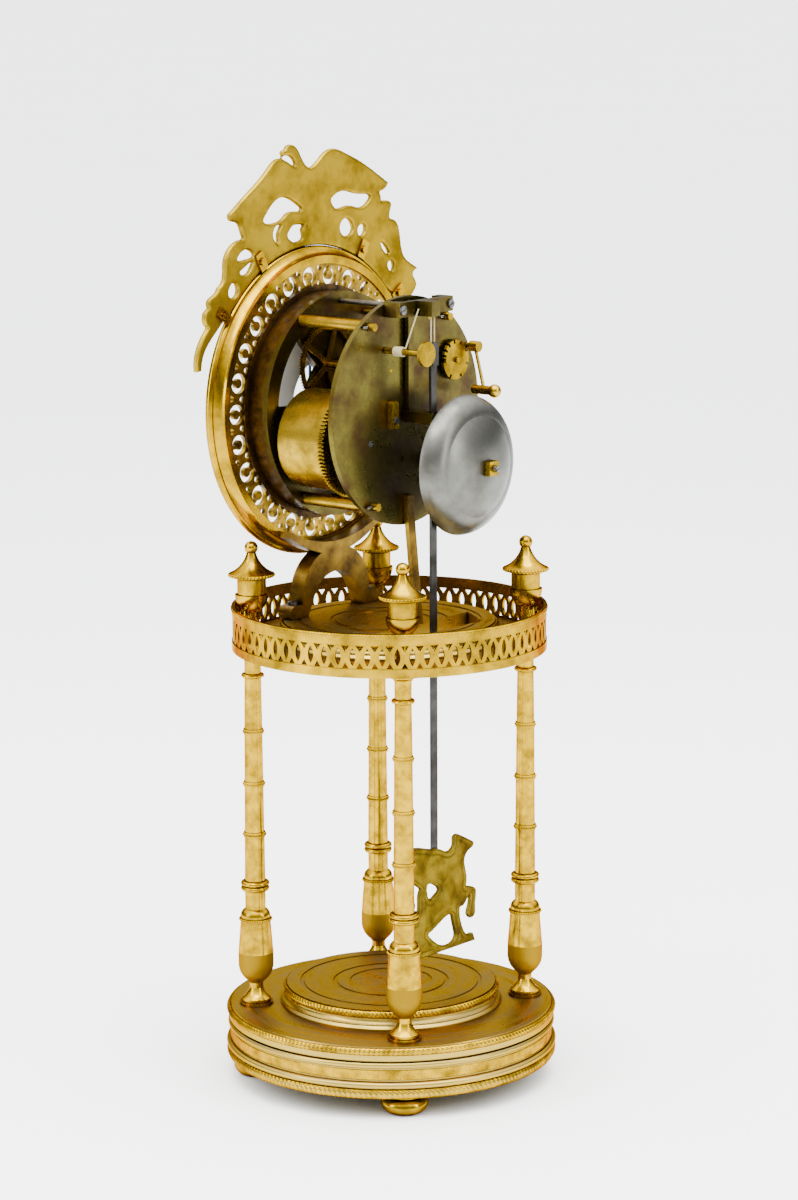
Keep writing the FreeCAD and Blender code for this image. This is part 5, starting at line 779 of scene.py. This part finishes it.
# %% Floor
PAPER_PATCH = 0.5
PAPER_ROUGHNESS = 0.9
FLOOR_HALF = 60.0
floor_material, tree, shader = new_material("pale_paper")
place = add(tree, "ShaderNodeTexCoord").outputs["Object"]
paper = add(tree, "ShaderNodeTexNoise", {"Vector": place, "Scale": 1 / PAPER_PATCH})
tint = add(tree, "ShaderNodeValToRGB", {"Fac": paper.outputs["Fac"]})
tint.color_ramp.elements[0].color = linear("#F2F3F2")
tint.color_ramp.elements[1].color = linear("#F7F8F7")
tree.links.new(tint.outputs["Color"], shader.inputs["Base Color"])
shader.inputs["Roughness"].default_value = PAPER_ROUGHNESS
corners = [(FLOOR_HALF * x, FLOOR_HALF * y, 0)
           for x, y in ((-1, -1), (1, -1), (1, 1), (-1, 1))]
floor_mesh = bpy.data.meshes.new("floor")
floor_mesh.from_pydata(corners, [], [(0, 1, 2, 3)])
floor = bpy.data.objects.new("floor", floor_mesh)
bpy.context.scene.collection.objects.link(floor)
give(floor, floor_material)
print("floor is", 2 * FLOOR_HALF, "m wide")

# %% [markdown]
# ## The light
# Metal only looks like metal when it has something to mirror, so two soft boxes stand left
# and right of the camera and a third hangs overhead. Each line of the list gives a box's
# name, its turn from the camera's bearing in degrees, its distance, height, width and
# tallness in metres, and its power in watts. The surroundings are bright above, which
# whitens the floor, and greyer at eye height, which gives the gold its darker tones.

# %% Soft boxes
CAMERA_AZIMUTH = 129.6
LOOK_AT = Vector((0, 0, 0.22))
SOFT_BOXES = [
    ("left_box", -62, 1.3, 0.75, 0.3, 1.1, 16),
    ("right_box", 58, 1.2, 0.7, 0.2, 1.0, 10),
    ("top_box", 10, 0.35, 1.6, 1.4, 1.2, 60),
]
for name, off_camera, distance, height, width, tall, power in SOFT_BOXES:
    data = bpy.data.lights.new(name, "AREA")
    data.shape = "RECTANGLE"
    data.size = width
    data.size_y = tall
    data.energy = power
    light = bpy.data.objects.new(name, data)
    turn = math.radians(CAMERA_AZIMUTH + off_camera)
    light.location = (math.sin(turn) * distance, -math.cos(turn) * distance, height)
    light.rotation_euler = (LOOK_AT - light.location).to_track_quat("-Z", "Y").to_euler()
    bpy.context.scene.collection.objects.link(light)
print("lights:", len(bpy.data.lights))

# %% Surroundings
GREY_UP_TO, BRIGHT_FROM = 0.25, 0.8
GREY_STRENGTH, BRIGHT_STRENGTH = 0.12, 6.5
world = bpy.data.worlds.new("studio")
bpy.context.scene.world = world
world.use_nodes = True
tree = world.node_tree
way = add(tree, "ShaderNodeTexCoord").outputs["Generated"]
rise = add(tree, "ShaderNodeSeparateXYZ", {"Vector": way}).outputs["Z"]
sky = add(tree, "ShaderNodeMapRange", {
    "Value": rise, "From Min": GREY_UP_TO, "From Max": BRIGHT_FROM,
    "To Min": GREY_STRENGTH, "To Max": BRIGHT_STRENGTH})
surround = tree.nodes["Background"]
surround.inputs["Color"].default_value = linear("#F1F2F3")
tree.links.new(sky.outputs["Result"], surround.inputs["Strength"])
print("surroundings go from", GREY_STRENGTH, "to", BRIGHT_STRENGTH)

# %% [markdown]
# ## The camera
# The camera's place and lens were worked out from the photograph: the ellipses of the
# plinth and of the gallery give its height, and the columns give its bearing. It looks
# slightly down and is turned by a fraction of a degree, as the photograph is.

# %% Camera
CAMERA_DISTANCE = 1.74422
CAMERA_HEIGHT = 0.56869
CAMERA_YAW = math.radians(-0.153)
CAMERA_PITCH = math.radians(10.91)
CAMERA_ROLL = math.radians(-0.25)
SENSOR_WIDTH, FOCAL_LENGTH = 36.0, 111.95
bearing = math.radians(CAMERA_AZIMUTH)
look = bearing + CAMERA_YAW
forward = Vector((-math.sin(look) * math.cos(CAMERA_PITCH),
                  math.cos(look) * math.cos(CAMERA_PITCH), -math.sin(CAMERA_PITCH)))
right = Vector((math.cos(look), math.sin(look), 0))
up = right.cross(forward)
across = math.cos(CAMERA_ROLL) * right + math.sin(CAMERA_ROLL) * up
rising = math.cos(CAMERA_ROLL) * up - math.sin(CAMERA_ROLL) * right
lens = bpy.data.cameras.new("camera")
lens.sensor_width = SENSOR_WIDTH
lens.lens = FOCAL_LENGTH
camera = bpy.data.objects.new("camera", lens)
bpy.context.scene.collection.objects.link(camera)
turn = Matrix((across, rising, -forward)).transposed().to_4x4()
camera.matrix_world = Matrix.Translation(
    (math.sin(bearing) * CAMERA_DISTANCE, -math.cos(bearing) * CAMERA_DISTANCE,
     CAMERA_HEIGHT)) @ turn
bpy.context.scene.camera = camera
print("camera at", tuple(round(value, 3) for value in camera.location))
